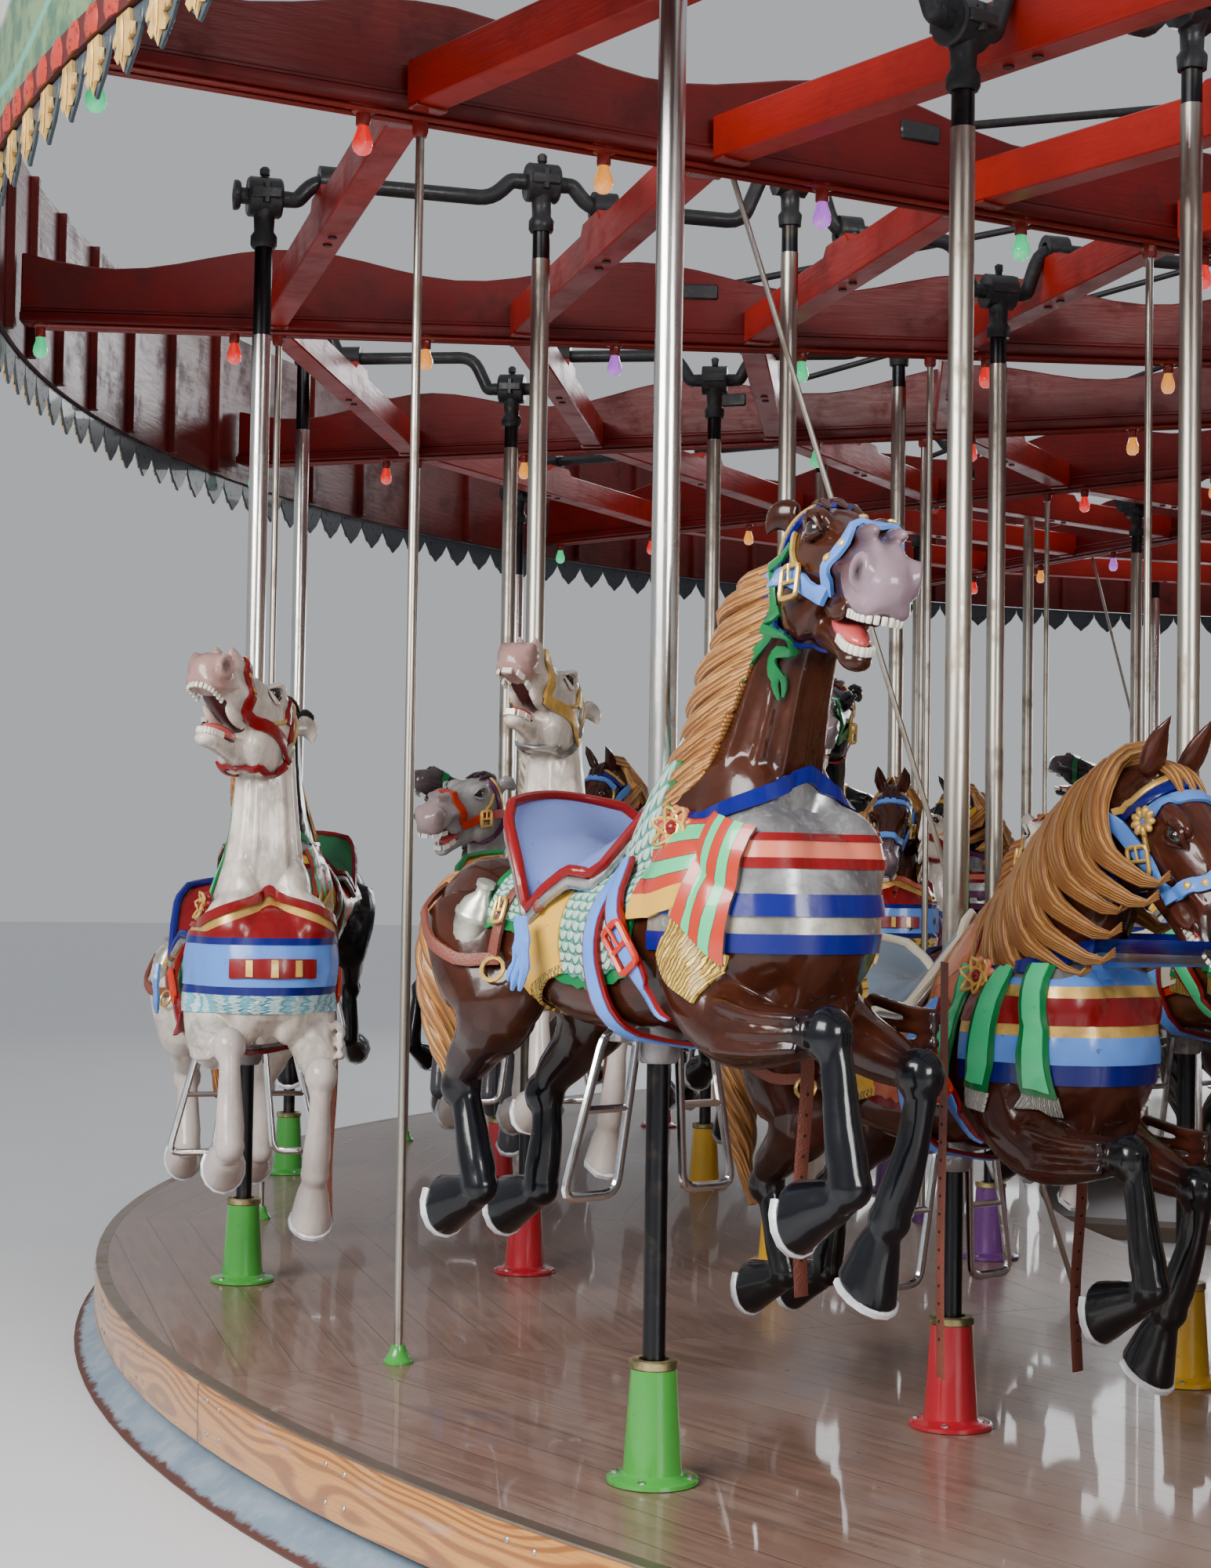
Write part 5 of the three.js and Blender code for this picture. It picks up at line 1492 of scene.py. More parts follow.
            lean = at(-0.418, side * 0.200, 0.862) @ Matrix.Rotation(math.radians(25), 4, "Y")
            made.append((moved(turning(FLASK, 18), lean), "bright"))
            hold = [lean @ p for p in circle(0.046, 16, 0.062)]
            made.append((tube(hold, 0.009, 6, 0.5, closed=True, up=Z), "leather"))
    return made


def moved(shape, place):
    bmesh.ops.transform(shape, matrix=place, verts=shape.verts)
    return shape


def jaw_place(pose):
    """Drops the lower jaw about its hinge, in head space."""
    return at(0.08, 0, -0.05) @ Matrix.Rotation(math.radians(HEADS[pose][4]), 4, "Y") @ at(-0.08, 0, 0.05)


def gathered(*shapes):
    """Several shapes as one, each left whole."""
    whole = bmesh.new()
    for shape in shapes:
        whole.from_mesh(as_mesh(shape))
    return whole


def struck(tree, start, way):
    """Where a ray meets the carving and the normal there, or else the nearest place."""
    way = Vector(way).normalized()
    hit, normal, _, _ = tree.ray_cast(Vector(start), way)
    if hit is None:
        hit, normal, _, _ = tree.find_nearest(Vector(start) + way * 0.2)
    return hit, normal


def flattened(normal):
    return Vector((normal.x, normal.y, 0)).normalized()


def rosette(radius):
    """A carved rosette of petals about a raised eye."""
    petals = []
    for k in range(9):
        a = k * FULL_TURN / 9
        petal = bmesh.new()
        seat = turned(a) @ at(radius * 0.60, 0, 0) @ sized(radius * 0.42, radius * 0.27, radius * 0.24)
        bmesh.ops.create_icosphere(petal, subdivisions=2, radius=1.0, matrix=seat)
        petals.append(petal)
    return gathered(*petals)


def matched(points, count):
    """Places spread evenly over the numbers of a list of points, so that two lists stay paired."""
    places = [i * (len(points) - 1) / (count - 1) for i in range(count)]
    lines = [np.interp(places, range(len(points)), [p[k] for p in points]) for k in range(3)]
    return [Vector([float(line[i]) for line in lines]) for i in range(count)]


def swept_hair(inner, outer, side, fine):
    """Broad carved locks swept back and down over the crest from one side of the neck."""
    count, strands = (10, 6) if fine else (9, 2)
    steps = 12 if fine else 6
    roots, tips = matched(inner, count * strands), matched(outer, count * strands)
    shapes = []
    for i in range(count * strands):
        lock, strand = divmod(i, strands)
        swell = math.sin(math.pi * (strand + 0.5) / strands) ** 0.7
        middle = lock * strands + strands // 2
        root = roots[i].lerp(roots[middle], 0.15)
        drop = 0.012 + 0.030 * lock / count
        fall = Vector((-0.032 * swell - 0.008 * math.sin(lock * 2.3), 0, -drop - 0.006 * swell))
        tip = tips[i].lerp(tips[middle], 0.35) + fall
        out = Vector((0, side, 0))
        rise = 0.020 * swell
        path = [
            root - out * 0.022, root + out * (0.004 + rise * 0.5), root.lerp(tip, 0.30) + out * (0.016 + rise),
            root.lerp(tip, 0.68) + out * (0.018 + rise) + Z * 0.004, tip + out * 0.002,
            tip + Vector((0.020, -side * 0.045, -0.030)),
        ]
        full = 0.0140 if fine else 0.030
        radii = [full * (0.62 + 0.38 * math.sin(math.pi * min(1.0, 0.12 + k / (steps - 1)))) for k in range(steps)]
        shapes.append(tube(curved(path, steps), radii, 8 if fine else 5, 0.85, up=Y))
    return shapes


def forward_hair(crest, side, fine):
    """Long carved locks that fall from the crest and curl forwards over the side of the neck."""
    count, strands = (12, 4) if fine else (8, 1)
    steps = 16 if fine else 8
    shapes = []
    for i, root in enumerate(curved(crest, count)):
        share = i / (count - 1)
        sway = 0.020 * math.sin(i * 2.1)
        for strand in range(strands):
            slip = strand - (strands - 1) / 2
            start = root + Vector((0.011 * slip, 0, 0.009 * slip))
            reach = 0.15 + 0.06 * share + sway
            drop = 0.25 + 0.05 * share + sway * 0.5
            path = [
                start + Vector((0.02, 0, 0.012)), start + Vector((-0.045, side * 0.050, -0.010)),
                start + Vector((-0.058, side * (0.098 + 0.004 * strand), -drop * 0.45)),
                start + Vector((-0.014, side * (0.124 + 0.005 * strand), -drop * 0.80 - 0.006 * slip)),
                start + Vector((reach * 0.42, side * (0.126 + 0.005 * strand), -drop * 1.00 - 0.006 * slip)),
                start + Vector((reach * 0.78 - 0.004 * slip, side * 0.118, -drop * 1.10 - 0.006 * slip)),
                root + Vector((reach, side * 0.106, -drop * 1.02 + 0.006 * slip)),
            ]
            full = 0.0215 if fine else 0.038
            runs = [k / (steps - 1) for k in range(steps)]
            radii = [full * (0.50 + 0.70 * math.sin(math.pi * (0.08 + 0.80 * t))) * (1 - 0.86 * t ** 3) for t in runs]
            shapes.append(tube(curved(path, steps), radii, 8 if fine else 5, 0.80, up=Y))
    return shapes


# Straps of the bridle, in head space: (angle from the forehead in degrees, place along the nose), or (x, z).
NOSEBAND = [(-138, 0.232), (-90, 0.258), (-45, 0.284), (0, 0.290), (45, 0.284), (90, 0.258), (138, 0.232)]
THROAT_LATCH = [
    (-0.002, -0.050), (0.004, -0.080), (0.024, -0.110), (0.056, -0.128), (0.084, -0.134), (0.108, -0.134),
]
CHEEK_STRAP = [(-0.012, -0.052), (0.05, -0.036), (0.10, -0.030), (0.15, -0.031), (0.20, -0.038), (0.244, -0.048)]
LIDS = [
    ([(0.126, 0.070, 0.058), (0.142, 0.085, 0.088), (0.172, 0.085, 0.093), (0.198, 0.070, 0.068)], 0.0080),
    ([(0.130, 0.071, 0.056), (0.156, 0.084, 0.046), (0.192, 0.071, 0.062)], 0.0060),
]


def dress_head(tree, pose, fine):
    """Bridle, eyes, teeth, tongue, mane and tail, as (shape, role) pairs."""
    made = []
    place = head_place(pose)
    hinge = place @ jaw_place(pose)
    turn = place.to_3x3()
    steps = 36 if fine else 16

    def hoop(turns, width, role, lift=0.004, shift=(0, 0, 0), thick=0.006, reach=0.30):
        rays = hoop_rays(place, shift, turns, steps, reach)
        made.append((band(tree, rays, width, lift, thick), role))

    def beside(side, points, width, role, lift=0.006, thick=0.006):
        path = curved([(t, 0, v) for t, v in points], 14 if fine else 8)
        rays = [(place @ Vector((p.x, side * 0.3, p.z)), turn @ Vector((0, -side, 0))) for p in path]
        made.append((band(tree, rays, width, lift, thick), role))

    hoop(NOSEBAND, 0.032, "strap", 0.005, (0, 0, 0.012))
    hoop([(-108, 0.018), (-60, 0.046), (0, 0.052), (60, 0.046), (108, 0.018)], 0.028, "strap_edge", 0.004)
    hoop([(-106, 0.004), (-70, 0.026), (0, 0.030), (70, 0.026), (106, 0.004)], 0.016, "gold", 0.007)
    if pose != "proud":
        hoop([(-74, 0.076), (0, 0.088), (74, 0.076)], 0.028, "strap", 0.005)
    hoop([(147, 0.108), (180, 0.120), (213, 0.108)], 0.022, "strap_edge", 0.006, (0, 0, -0.03), 0.005, 0.17)
    for side in (-1, 1):
        beside(side, THROAT_LATCH, 0.022, "strap_edge", 0.006, 0.005)
        beside(side, CHEEK_STRAP, 0.036, "strap", 0.009)
        beside(side, [(0.070, 0.050), (0.098, 0.016), (0.135, -0.010)], 0.010, "gold", 0.004, 0.005)
        if pose != "flung":
            ray = (place @ Vector((0.135, side * 0.3, -0.038)), turn @ Vector((0, -side, 0)))
            clasp = on_skin(tree, ray, 0.1, 0.020)
            made.append((moved(buckle(0.024, 0.031, 0.0052 if fine else 0.007), clasp), "gold"))
        eye = at(*(place @ Vector((0.160, side * 0.0710, 0.068)))) @ turn.to_4x4()
        made.append((moved(ball((0, 0, 0), (0.026, 0.018, 0.020), level=3 if fine else 1), eye), "eye"))
        for lid, thick in LIDS:
            path = curved([place @ Vector((t, w * side, v)) for t, w, v in lid], 10)
            made.append((tube(path, [thick * math.sin(math.pi * (0.12 + 0.76 * k / 9)) for k in range(10)], 6), "lid"))
        if fine:
            for turns in (18, 50, 84):
                shift = float(np.interp(turns * side, *zip(*NOSEBAND)))
                ray = hoop_rays(place, (0, 0, 0.012), [(turns * side, shift), (turns * side + 0.1, shift)], 2, 0.3)[0]
                made.append((moved(stud(0.0095, 0.5), on_skin(tree, ray, 0, 0.0130)), "gold"))
    if pose == "arched":
        ray = (place @ Vector((0.085, -0.3, 0.030)), turn @ Vector((0, 1, 0)))
        made.append((moved(rosette(0.034), on_skin(tree, ray, 0, 0.012)), "gold"))
    if pose == "flung":
        for side in (-1, 1):
            ray = (place @ Vector((0.020, side * 0.3, -0.030)), turn @ Vector((0, -side, 0)))
            disc = ball((0, 0, 0), (0.028, 0.028, 0.010), level=2)
            made.append((moved(disc, on_skin(tree, ray, 0, 0.016)), "bright"))
    level = 3 if fine else 1
    made.append((moved(ball((0.262, 0, -0.060), (0.080, 0.030, 0.021), level=level), hinge), "tongue"))
    # Dark fills in the open mouth: painted shade of the mouth's inside.
    made.append((moved(ball((0.245, 0, -0.052), (0.135, 0.038, 0.022), level=level), place), "mouth"))
    made.append((moved(ball((0.235, 0, -0.078), (0.085, 0.027, 0.016), level=level), hinge), "mouth"))
    count, wide = (7, 0.0052) if fine else (2, 0.015)
    arches = (place, 0.424, 0.0385, 0.050, -0.071, -0.054), (hinge, 0.349, 0.0275, 0.034, -0.080, -0.062)
    for where, front, half, back, low, high in arches:
        for k in range(-count, count + 1):
            share = k / count
            if abs(share) < 0.62:
                spin = math.radians(90 * share / 0.62)
                spot = (front - 0.030 + 0.030 * math.cos(spin), half * math.sin(spin))
            else:
                spin = math.copysign(math.pi / 2, share)
                spot = (front - 0.030 - back * (abs(share) - 0.62) / 0.38, math.copysign(half, share))
            tooth = block(-0.0045, 0.0040, -wide, wide, low, high, 0.0018 if fine else 0.0, 1)
            made.append((moved(tooth, where @ at(*spot, 0) @ turned(spin)), "teeth"))
    crest = CRESTS[pose]
    if pose == "arched":
        hair = forward_hair(crest, -1, fine) + forward_hair(crest, 1, False)
    elif pose == "proud":
        hair = swept_hair(MANE_ROOTS, MANE_TIPS, -1, fine)
    else:
        hair = twisted_hair([(x, y - 0.02, z) for x, y, z in crest], 0.052, 6, 2.6, fine)
    hair += twisted_hair(TAIL, 0.052, 5, 1.6, fine)
    made += [(shape, "mane") for shape in hair]
    for w, v in ((0.0, 0.112), (-0.026, 0.106), (0.026, 0.106)):
        lock = [(-0.03, w * 0.6, v - 0.016), (0.03, w, v + 0.008), (0.10, w * 1.3, v + 0.002)]
        path = curved([place @ Vector(p) for p in lock], 8)
        made.append((tube(path, [0.013, 0.018, 0.020, 0.018, 0.015, 0.011, 0.007, 0.003], 8, 0.6), "forelock"))
    if fine and pose == "proud":
        for points, widths in RIBBONS:
            path = curved([(x, 0, z) for x, z in points], len(widths))
            rays = [(Vector((p.x, -0.09, p.z)) + QUARTER * 0.4, -QUARTER) for p in path]
            made.append((band(tree, rays, list(widths), 0.006, 0.004), "ribbon"))
    for _, side, _, coronet, way in LEGS:
        made.append((hoof((coronet[0], coronet[1] * side, coronet[2]), way)[1], "shoe"))
    return made


BASE_ROLES = {
    "gold": GOLD, "buckle": HUE["orange_red"], "leather": TREE["strap"], "teeth": TREE["white"],
    "tongue": TREE["tongue"], "mouth": TREE["mouth"], "eye": TREE["eye"], "shoe": TREE["shoe"],
    "bright": BRIGHT_SILVER, "metal": SILVER, "fringe": GOLD_FRINGE, "flap": HUE["yellow"],
    "flap_fringe": GOLD_FRINGE, "tassel": HUE["light_blue"], "ribbon": HUE["green"], "bars": BARS,
    "sash": SASH, "yellow": HUE["yellow"], "rim_metal": SILVER, "tab": HUE["mint"],
    "tab_edge": HUE["green"], "girth_edge": HUE["dark_red"], "deep": HUE["royal_blue"],
    "dark": HUE["dark_red"], "warm": HUE["salmon"], "blanket": SCALES, "blanket_edge": HUE["green"],
    "strap": HUE["light_blue"], "strap_edge": HUE["royal_blue"], "saddle": HUE["periwinkle"],
    "saddle_rim": HUE["dark_red"], "girth": HUE["light_blue"], "field": HUE["light_blue"],
}


def palette(coat, hair, **changes):
    lids = COATS[coat]
    return {**BASE_ROLES, "mane": hair, "forelock": lids if coat == "chocolate" else hair, "lid": lids,
            "coat": COATS[coat], **changes}


PALETTES = [
    palette("chocolate", GOLDEN_HAIR),
    palette("cream", ORANGE_HAIR, strap=HUE["dark_red"], strap_edge=HUE["dark_red"], warm=HUE["dark_red"],
            fringe=AQUA_FRINGE, saddle=HUE["dark_red"],
            saddle_rim=HUE["royal_blue"], blanket=HUE["mint"], girth=HUE["dark_red"]),
    palette("chestnut", GOLDEN_HAIR, saddle=HUE["slate"], saddle_rim=HUE["cream"], blanket=CHECKS,
            blanket_edge=HUE["dark_red"], fringe=SILVER_FRINGE),
    palette("black", DARK_HAIR, saddle=HUE["green"], saddle_rim=HUE["dark_red"], blanket=HUE["orange_red"],
            blanket_edge=HUE["yellow"], strap=HUE["green"], strap_edge=HUE["dark_red"], deep=HUE["green"],
            warm=HUE["yellow"], girth=HUE["green"]),
    palette("bay", ORANGE_HAIR, saddle=HUE["royal_blue"], saddle_rim=HUE["yellow"], blanket=HUE["cream"],
            blanket_edge=HUE["orange_red"], strap=HUE["mint"], deep=HUE["green"], warm=HUE["cream"]),
    palette("cream", PALE_HAIR, saddle=HUE["orange"], saddle_rim=HUE["green"], blanket=HUE["royal_blue"],
            blanket_edge=HUE["yellow"], strap=GOLD, strap_edge=SILVER, deep=HUE["plum"], warm=HUE["yellow"]),
    palette("grey", DARK_HAIR, saddle=HUE["dark_red"], saddle_rim=HUE["yellow"], blanket=HUE["slate"],
            blanket_edge=HUE["cream"], strap=HUE["orange_red"], strap_edge=HUE["plum"], deep=HUE["royal_blue"]),
    palette("black", GOLDEN_HAIR, saddle=HUE["orange_red"], saddle_rim=HUE["yellow"], blanket=HUE["green"],
            blanket_edge=HUE["yellow"], strap=HUE["yellow"], strap_edge=HUE["dark_red"], deep=HUE["plum"]),
]
SPECIAL = {
    (1, 1): ("proud", "striped", 0), (2, 1): ("flung", "panelled", 1), (1, 2): ("arched", "tabbed", 2),
    (3, 1): ("flung", "striped", 3), (1, 3): ("arched", "tabbed", 4), (2, 2): ("flung", "panelled", 5),
    (2, 3): ("proud", "tabbed", 3), (1, 4): ("proud", "striped", 3), (3, 2): ("proud", "panelled", 6),
    (2, 4): ("proud", "striped", 1),
}
SIZES = {"near": (0.0050, 28000), "middle": (0.009, 9000), "far": (0.012, 2000)}
TACK_SHARES = {"near": 1.0, "middle": 0.55, "far": 0.30}
# The height in a pattern that stays in place when a smaller ring's horses shrink.
SHRINK_CENTRE = 0.760
carvings, harness, heads = {}, {}, {}


def pattern_of(row, ring):
    if (row, ring) in SPECIAL:
        return SPECIAL[(row, ring)]
    pick = random.Random(row * 10 + ring)
    return pick.choice(["proud", "flung", "arched"]), pick.choice(["striped", "panelled", "tabbed"]), pick.randrange(8)


def detail_of(row, ring):
    return "near" if (row, ring) in NEAR_HORSES else "middle" if (row, ring) in MIDDLE_HORSES else "far"


def pattern(pose, detail):
    """The carving of a pose at a level of detail, and the surface that its harness lies on."""
    if (pose, detail) not in carvings:
        whole, made = remeshed(carve(pose), *SIZES[detail])
        shape = bmesh.new()
        shape.from_mesh(whole)
        tree = BVHTree.FromBMesh(shape)
        shape.free()
        carvings[(pose, detail)] = (masked(made, pose), tree)
    return carvings[(pose, detail)]


def kept(pairs, detail):
    return [(thinned(as_mesh(shape), TACK_SHARES[detail]), role) for shape, role in pairs]


def horse_place(row, ring):
    """Takes a horse pattern to its place on the platform."""
    scale = HORSE_SCALES[ring - 1]
    rise = DECK_TOP + lift_of(row, ring) + SHRINK_CENTRE * (1 - scale)
    return turned(row_angle(row)) @ at(RINGS[ring - 1], 0, rise) @ turned(math.pi / 2) @ sized(scale, scale, scale)


def build_horse(row, ring, body, replaces):
    pose, design, colours = pattern_of(row, ring)
    detail = detail_of(row, ring)
    mesh, tree = pattern(pose, detail)
    fine = detail == "near"
    roles = PALETTES[colours]
    key = (pose, design, detail)
    if key not in harness:
        harness[key] = kept(dress_trunk(tree, design, detail), detail)
    if (pose, detail) not in heads:
        heads[(pose, detail)] = kept(dress_head(tree, pose, fine), detail)
    place = horse_place(row, ring)
    skin = mesh.copy()
    skin.transform(place)
    skin.materials.clear()
    skin.materials.append(roles["coat"])
    name = f"{row:02d}_{ring}"
    placed("carved_horse_" + name, skin, body, replaces, 60)
    tack = Piece("harness_" + name)
    for shape, role in harness[key] + heads[(pose, detail)]:
        tack.add(shape, roles[role], place)
    tack.done(body, (), 45)


# Poles, stirrups, pedestals.


def pole_bar(fine):
    """A round bar a metre long, stretched to make each part of a pole."""
    return as_mesh(turning([(0.0, 0.0), (0.0288, 0.0), (0.0288, 1.0), (0.0, 1.0)], 20 if fine else 10))


def hanger_shape(fine):
    """The cast head on the crank pin: split bearing, bolts, neck and oil cup."""
    made = Piece("hanger")
    steps = 20 if fine else 10
    eye = turning([(0, -0.052), (0.054, -0.052), (0.060, -0.046), (0.060, 0.046), (0.054, 0.052), (0, 0.052)], steps)
    made.add(eye, TREE["iron"], ALONG_X)
    made.add(block(-0.045, 0.045, -0.068, 0.068, -0.016, 0.016, 0.004, 1), TREE["iron"])
    neck = turning([(0, -0.155), (0.034, -0.155), (0.040, -0.145), (0.040, -0.120), (0.030, -0.105), (0.032, -0.060),
                    (0.045, -0.035), (0, -0.03)], steps)
    made.add(neck, TREE["iron"])
    cup = turning([(0, 0.055), (0.012, 0.055), (0.010, 0.062), (0.016, 0.068), (0.016, 0.085), (0.009, 0.092),
                   (0, 0.093)], 8 if fine else 6)
    made.add(cup, TREE["iron"])
    if fine:
        nut = turning([(0, -0.030), (0.012, -0.030), (0.012, 0.030), (0.007, 0.034), (0, 0.034)], 6)
        made.add(as_mesh(nut), TREE["iron"], at(0, 0.056, 0), at(0, -0.056, 0))
    return as_mesh(made.sum)


def stirrup_shape(fine):
    """Both stirrup loops with their cast bracket under the belly."""
    made = Piece("stirrups")
    sides, steps = (8, 4) if fine else (5, 2)
    for side in (-1, 1):
        loop = [(0.0, side * 0.052, 0.768), (0.0, side * 0.138, 0.768), (-0.022, side * 0.222, 0.440),
                (-0.022, side * 0.088, 0.440)]
        made.add(tube(rounded(loop, 0.034, steps, True), 0.0105, sides, 0.8, closed=True, up=X), TREE["chrome"])
        bar = [(-0.011, side * 0.072, 0.612), (-0.011, side * 0.176, 0.612)]
        made.add(tube(bar, 0.008, sides), TREE["chrome"])
        lug = block(-0.024, 0.024, *sorted((side * 0.018, side * 0.118)), 0.745, 0.778, 0.008, 2)
        made.add(lug, TREE["cast"])
    hub = turning([(0.0235, 0.700), (0.036, 0.700), (0.044, 0.712), (0.046, 0.735), (0.050, 0.775), (0.0235, 0.775)],
                  16 if fine else 8)
    made.add(hub, TREE["cast"])
    return thinned(as_mesh(made.sum), 1.0 if fine else 0.6), made.finishes


def pedestal_shape(sides):
    """The cone that the lower pole slides in: bolted flange, body, cap ring."""
    made = Piece("pedestal")
    body = ring_of([(0.031, 0.002), (0.093, 0.002), (0.093, 0.010), (0.088, 0.013), (0.066, 0.016), (0.060, 0.022),
                    (0.047, 0.226), (0.031, 0.226)], sides)
    made.add(body, TREE["hole"])
    cap = ring_of([(0.031, 0.226), (0.0475, 0.226), (0.050, 0.229), (0.050, 0.242), (0.047, 0.245), (0.031, 0.245)],
                  sides)
    made.add(cap, TREE["brass"])
    bolt = as_mesh(turning([(0, 0.012), (0.0085, 0.012), (0.0085, 0.017), (0.004, 0.020), (0, 0.020)], 6))
    made.add(bolt, TREE["nail"], *[turned(a * math.pi / 2 + 0.6) @ at(0.079, 0, 0) for a in range(4)])
    return as_mesh(made.sum)


def foot_strap(length, holes):
    """A hanging leather strap with a row of punched holes."""
    made = Piece("strap")
    path = curved([(0, 0, 0), (0.004, 0.006, -length * 0.3), (-0.006, -0.004, -length * 0.7), (0.0, 0.0, -length)], 12)
    shape = tube(path, 0.019, 8, 0.16, up=X)
    made.add(shape, TREE["strap"])
    # Each punched hole is a near-black disc, painted shade standing for the hole's depth.
    dot = as_mesh(turning([(0, -0.0045), (0.0035, -0.0045), (0.0035, 0.0045), (0, 0.0045)], 6))
    for k in range(holes):
        t = 0.35 + 0.6 * k / holes
        point = path[min(11, int(t * 11))].lerp(path[min(11, int(t * 11) + 1)], t * 11 % 1)
        made.add(dot, TREE["hole"], at(*point) @ ALONG_X)
    return as_mesh(made.sum), made.finishes


SLEEVE = {fine: pole_bar(fine) for fine in (True, False)}
HANGER = {True: hanger_shape(True), False: thinned(hanger_shape(False), 0.6)}
STIRRUPS = {fine: stirrup_shape(fine) for fine in (True, False)}
STRAP = foot_strap(0.62, 9)
LONG_STRAP = foot_strap(0.92, 14)


def add_pole(piece, row, ring, fine):
    """Pole, hanger, pin and stirrups of one horse."""
    lift = lift_of(row, ring)
    base = turned(row_angle(row)) @ at(RINGS[ring - 1], 0, 0)
    pin = CRANK_AXIS + lift
    belly = DECK_TOP + lift + 0.72
    joint = pin - (0.42 if ring == 1 else 0.24)
    foot = DECK_TOP + lift + 0.015 if row in MOVING_ROWS else DECK_TOP + 0.02
    stand = lambda low, high, width: base @ at(0, 0, low) @ sized(width, width, high - low)
    piece.add(SLEEVE[fine], TREE["black_pole"], stand(joint, pin - 0.14, 0.94))
    piece.add(SLEEVE[fine], TREE["steel"] if ring == 1 else TREE["dull_steel"], stand(belly + 0.25, joint, 1.0))
    piece.add(SLEEVE[fine], TREE["black_pole"], stand(foot, belly + 0.05, 0.80))
    piece.add(HANGER[fine], TREE["iron"], base @ at(0, 0, pin))
    stub = turning([(0, -0.0745), (0.025, -0.0745), (0.025, 0.0745), (0, 0.0745)], 14 if fine else 8)
    piece.add(stub, TREE["iron"], base @ at(0, 0, pin) @ ALONG_X)
    if ring == 1:
        disc = turning([(0, -0.002), (0.040, -0.002), (0.045, 0.005), (0.045, 0.016), (0.018, 0.020), (0, 0.021)], 16)
        piece.add(disc, TREE["iron"], base @ at(0.0755, 0, pin) @ ALONG_X)
    mesh, finishes = STIRRUPS[fine]
    piece.add(mesh, finishes, horse_place(row, ring))
    if (row, ring) in NEAR_HORSES | MIDDLE_HORSES:
        strap, finishes = STRAP
        piece.add(strap, finishes, horse_place(row, ring) @ at(0.20, 0.215, 0.86))
    if (row, ring) == (1, 2):
        strap, finishes = LONG_STRAP
        piece.add(strap, finishes, horse_place(row, ring) @ at(0.205, -0.250, 1.20) @ turned(1.25))


# Overhead works.


def crank_path(row):
    """Lengths of a row's crank between its pins, as lists of corner points along X."""
    lengths, current = [], [(3.48, 0, CRANK_AXIS)]
    for ring in (4, 3, 2, 1):
        radius, pin = RINGS[ring - 1], CRANK_AXIS + lift_of(row, ring)
        current += [(radius - 0.150, 0, CRANK_AXIS), (radius - 0.098, 0, pin), (radius - 0.0755, 0, pin)]
        lengths.append(current)
        if ring > 1:
            current = [(radius + 0.0755, 0, pin), (radius + 0.098, 0, pin), (radius + 0.160, 0, CRANK_AXIS)]
    return lengths


def build_crank(row, replaces):
    piece = Piece(f"crank_{row:02d}")
    place = turned(row_angle(row))
    fine = row in FINE_ROWS
    for corners in crank_path(row):
        path = rounded(corners, 0.055, 4 if fine else 2)
        piece.add(tube(path, 0.0245, 12 if fine else 6, up=Y), TREE["iron"], place)
    cap = ring_of([(0.0262, -0.038), (0.050, -0.038), (0.050, 0.038), (0.0262, 0.038)], 14 if fine else 8)
    cap = as_mesh(cap)
    for radius in RINGS:
        seat = place @ at(radius - 0.200, 0, CRANK_AXIS) @ ALONG_X
        piece.add(cap, TREE["iron"], seat)
    piece.done("turntable", replaces)


def wave(x):
    return 0.245 + 0.045 * math.cos(2 * math.pi * (7.38 - x) / 1.24 + math.pi / 2)


def sweep_shape():
    """The wavy board, its wide lower edge and its rail, along X."""
    made = Piece("sweep")
    start, end = 0.445, 7.388
    count = 64
    xs = [start + (end - start) * i / count for i in range(count + 1)]
    outline = [(start, 0.006), (end, 0.006)] + [(x, wave(x)) for x in reversed(xs)]
    made.add(board(outline, 0.062, 0.006), TREE["sweep"], at(0, 0, SWEEP_FOOT))
    made.add(block(start, end, -0.056, 0.056, SWEEP_FOOT, SWEEP_FOOT + 0.034, 0.006, 2), TREE["sweep"])
    made.add(block(start, end, -0.040, 0.040, SWEEP_FOOT + 0.034, SWEEP_FOOT + 0.052, 0.006, 1), TREE["sweep"])
    for side in (-1, 1):
        rail = [(1.2, side * 0.024, SWEEP_FOOT - 0.008), (end - 0.05, side * 0.024, SWEEP_FOOT - 0.008)]
        made.add(tube(rail, 0.008, 8), TREE["socket"])
    return as_mesh(made.sum), made.finishes


def stretcher_shape(radius):
    """One bar between two sweeps, raised under the crank, bolted through its middle."""
    middle = radius - 0.200
    half = (middle - 0.045) * math.tan(BAY / 2) - 0.0345 / math.cos(BAY / 2)
    top, seat = 0.122, 0.153
    outline = [(-half, 0.003), (half, 0.003), (half, top), (0.11, top), (0.085, seat), (-0.085, seat), (-0.11, top),
               (-half, top)]
    made = Piece("stretcher")
    place = at(middle, 0, SWEEP_FOOT) @ turned(math.pi / 2)
    made.add(board(outline, 0.090, 0.005, 1), TREE["stretcher"], place)
    bolt = as_mesh(turning([(0, -0.002), (0.014, -0.002), (0.014, 0.005), (0, 0.005)], 10))
    head = as_mesh(turning([(0, 0.150), (0.013, 0.150), (0.013, 0.166), (0, 0.166)], 6))
    for y in (-0.045, 0.045):
        made.add(bolt, TREE["bead_dark"], at(middle, y, SWEEP_FOOT))
        made.add(head, TREE["iron"], at(middle, y, SWEEP_FOOT))
    for y in (-half + 0.03, half - 0.03):
        made.add(block(-0.048, 0.048, y - 0.022, y + 0.022, -0.004, 0.004, 0.002, 1), TREE["socket"],
                 at(middle, 0, SWEEP_FOOT))
    return as_mesh(made.sum), made.finishes


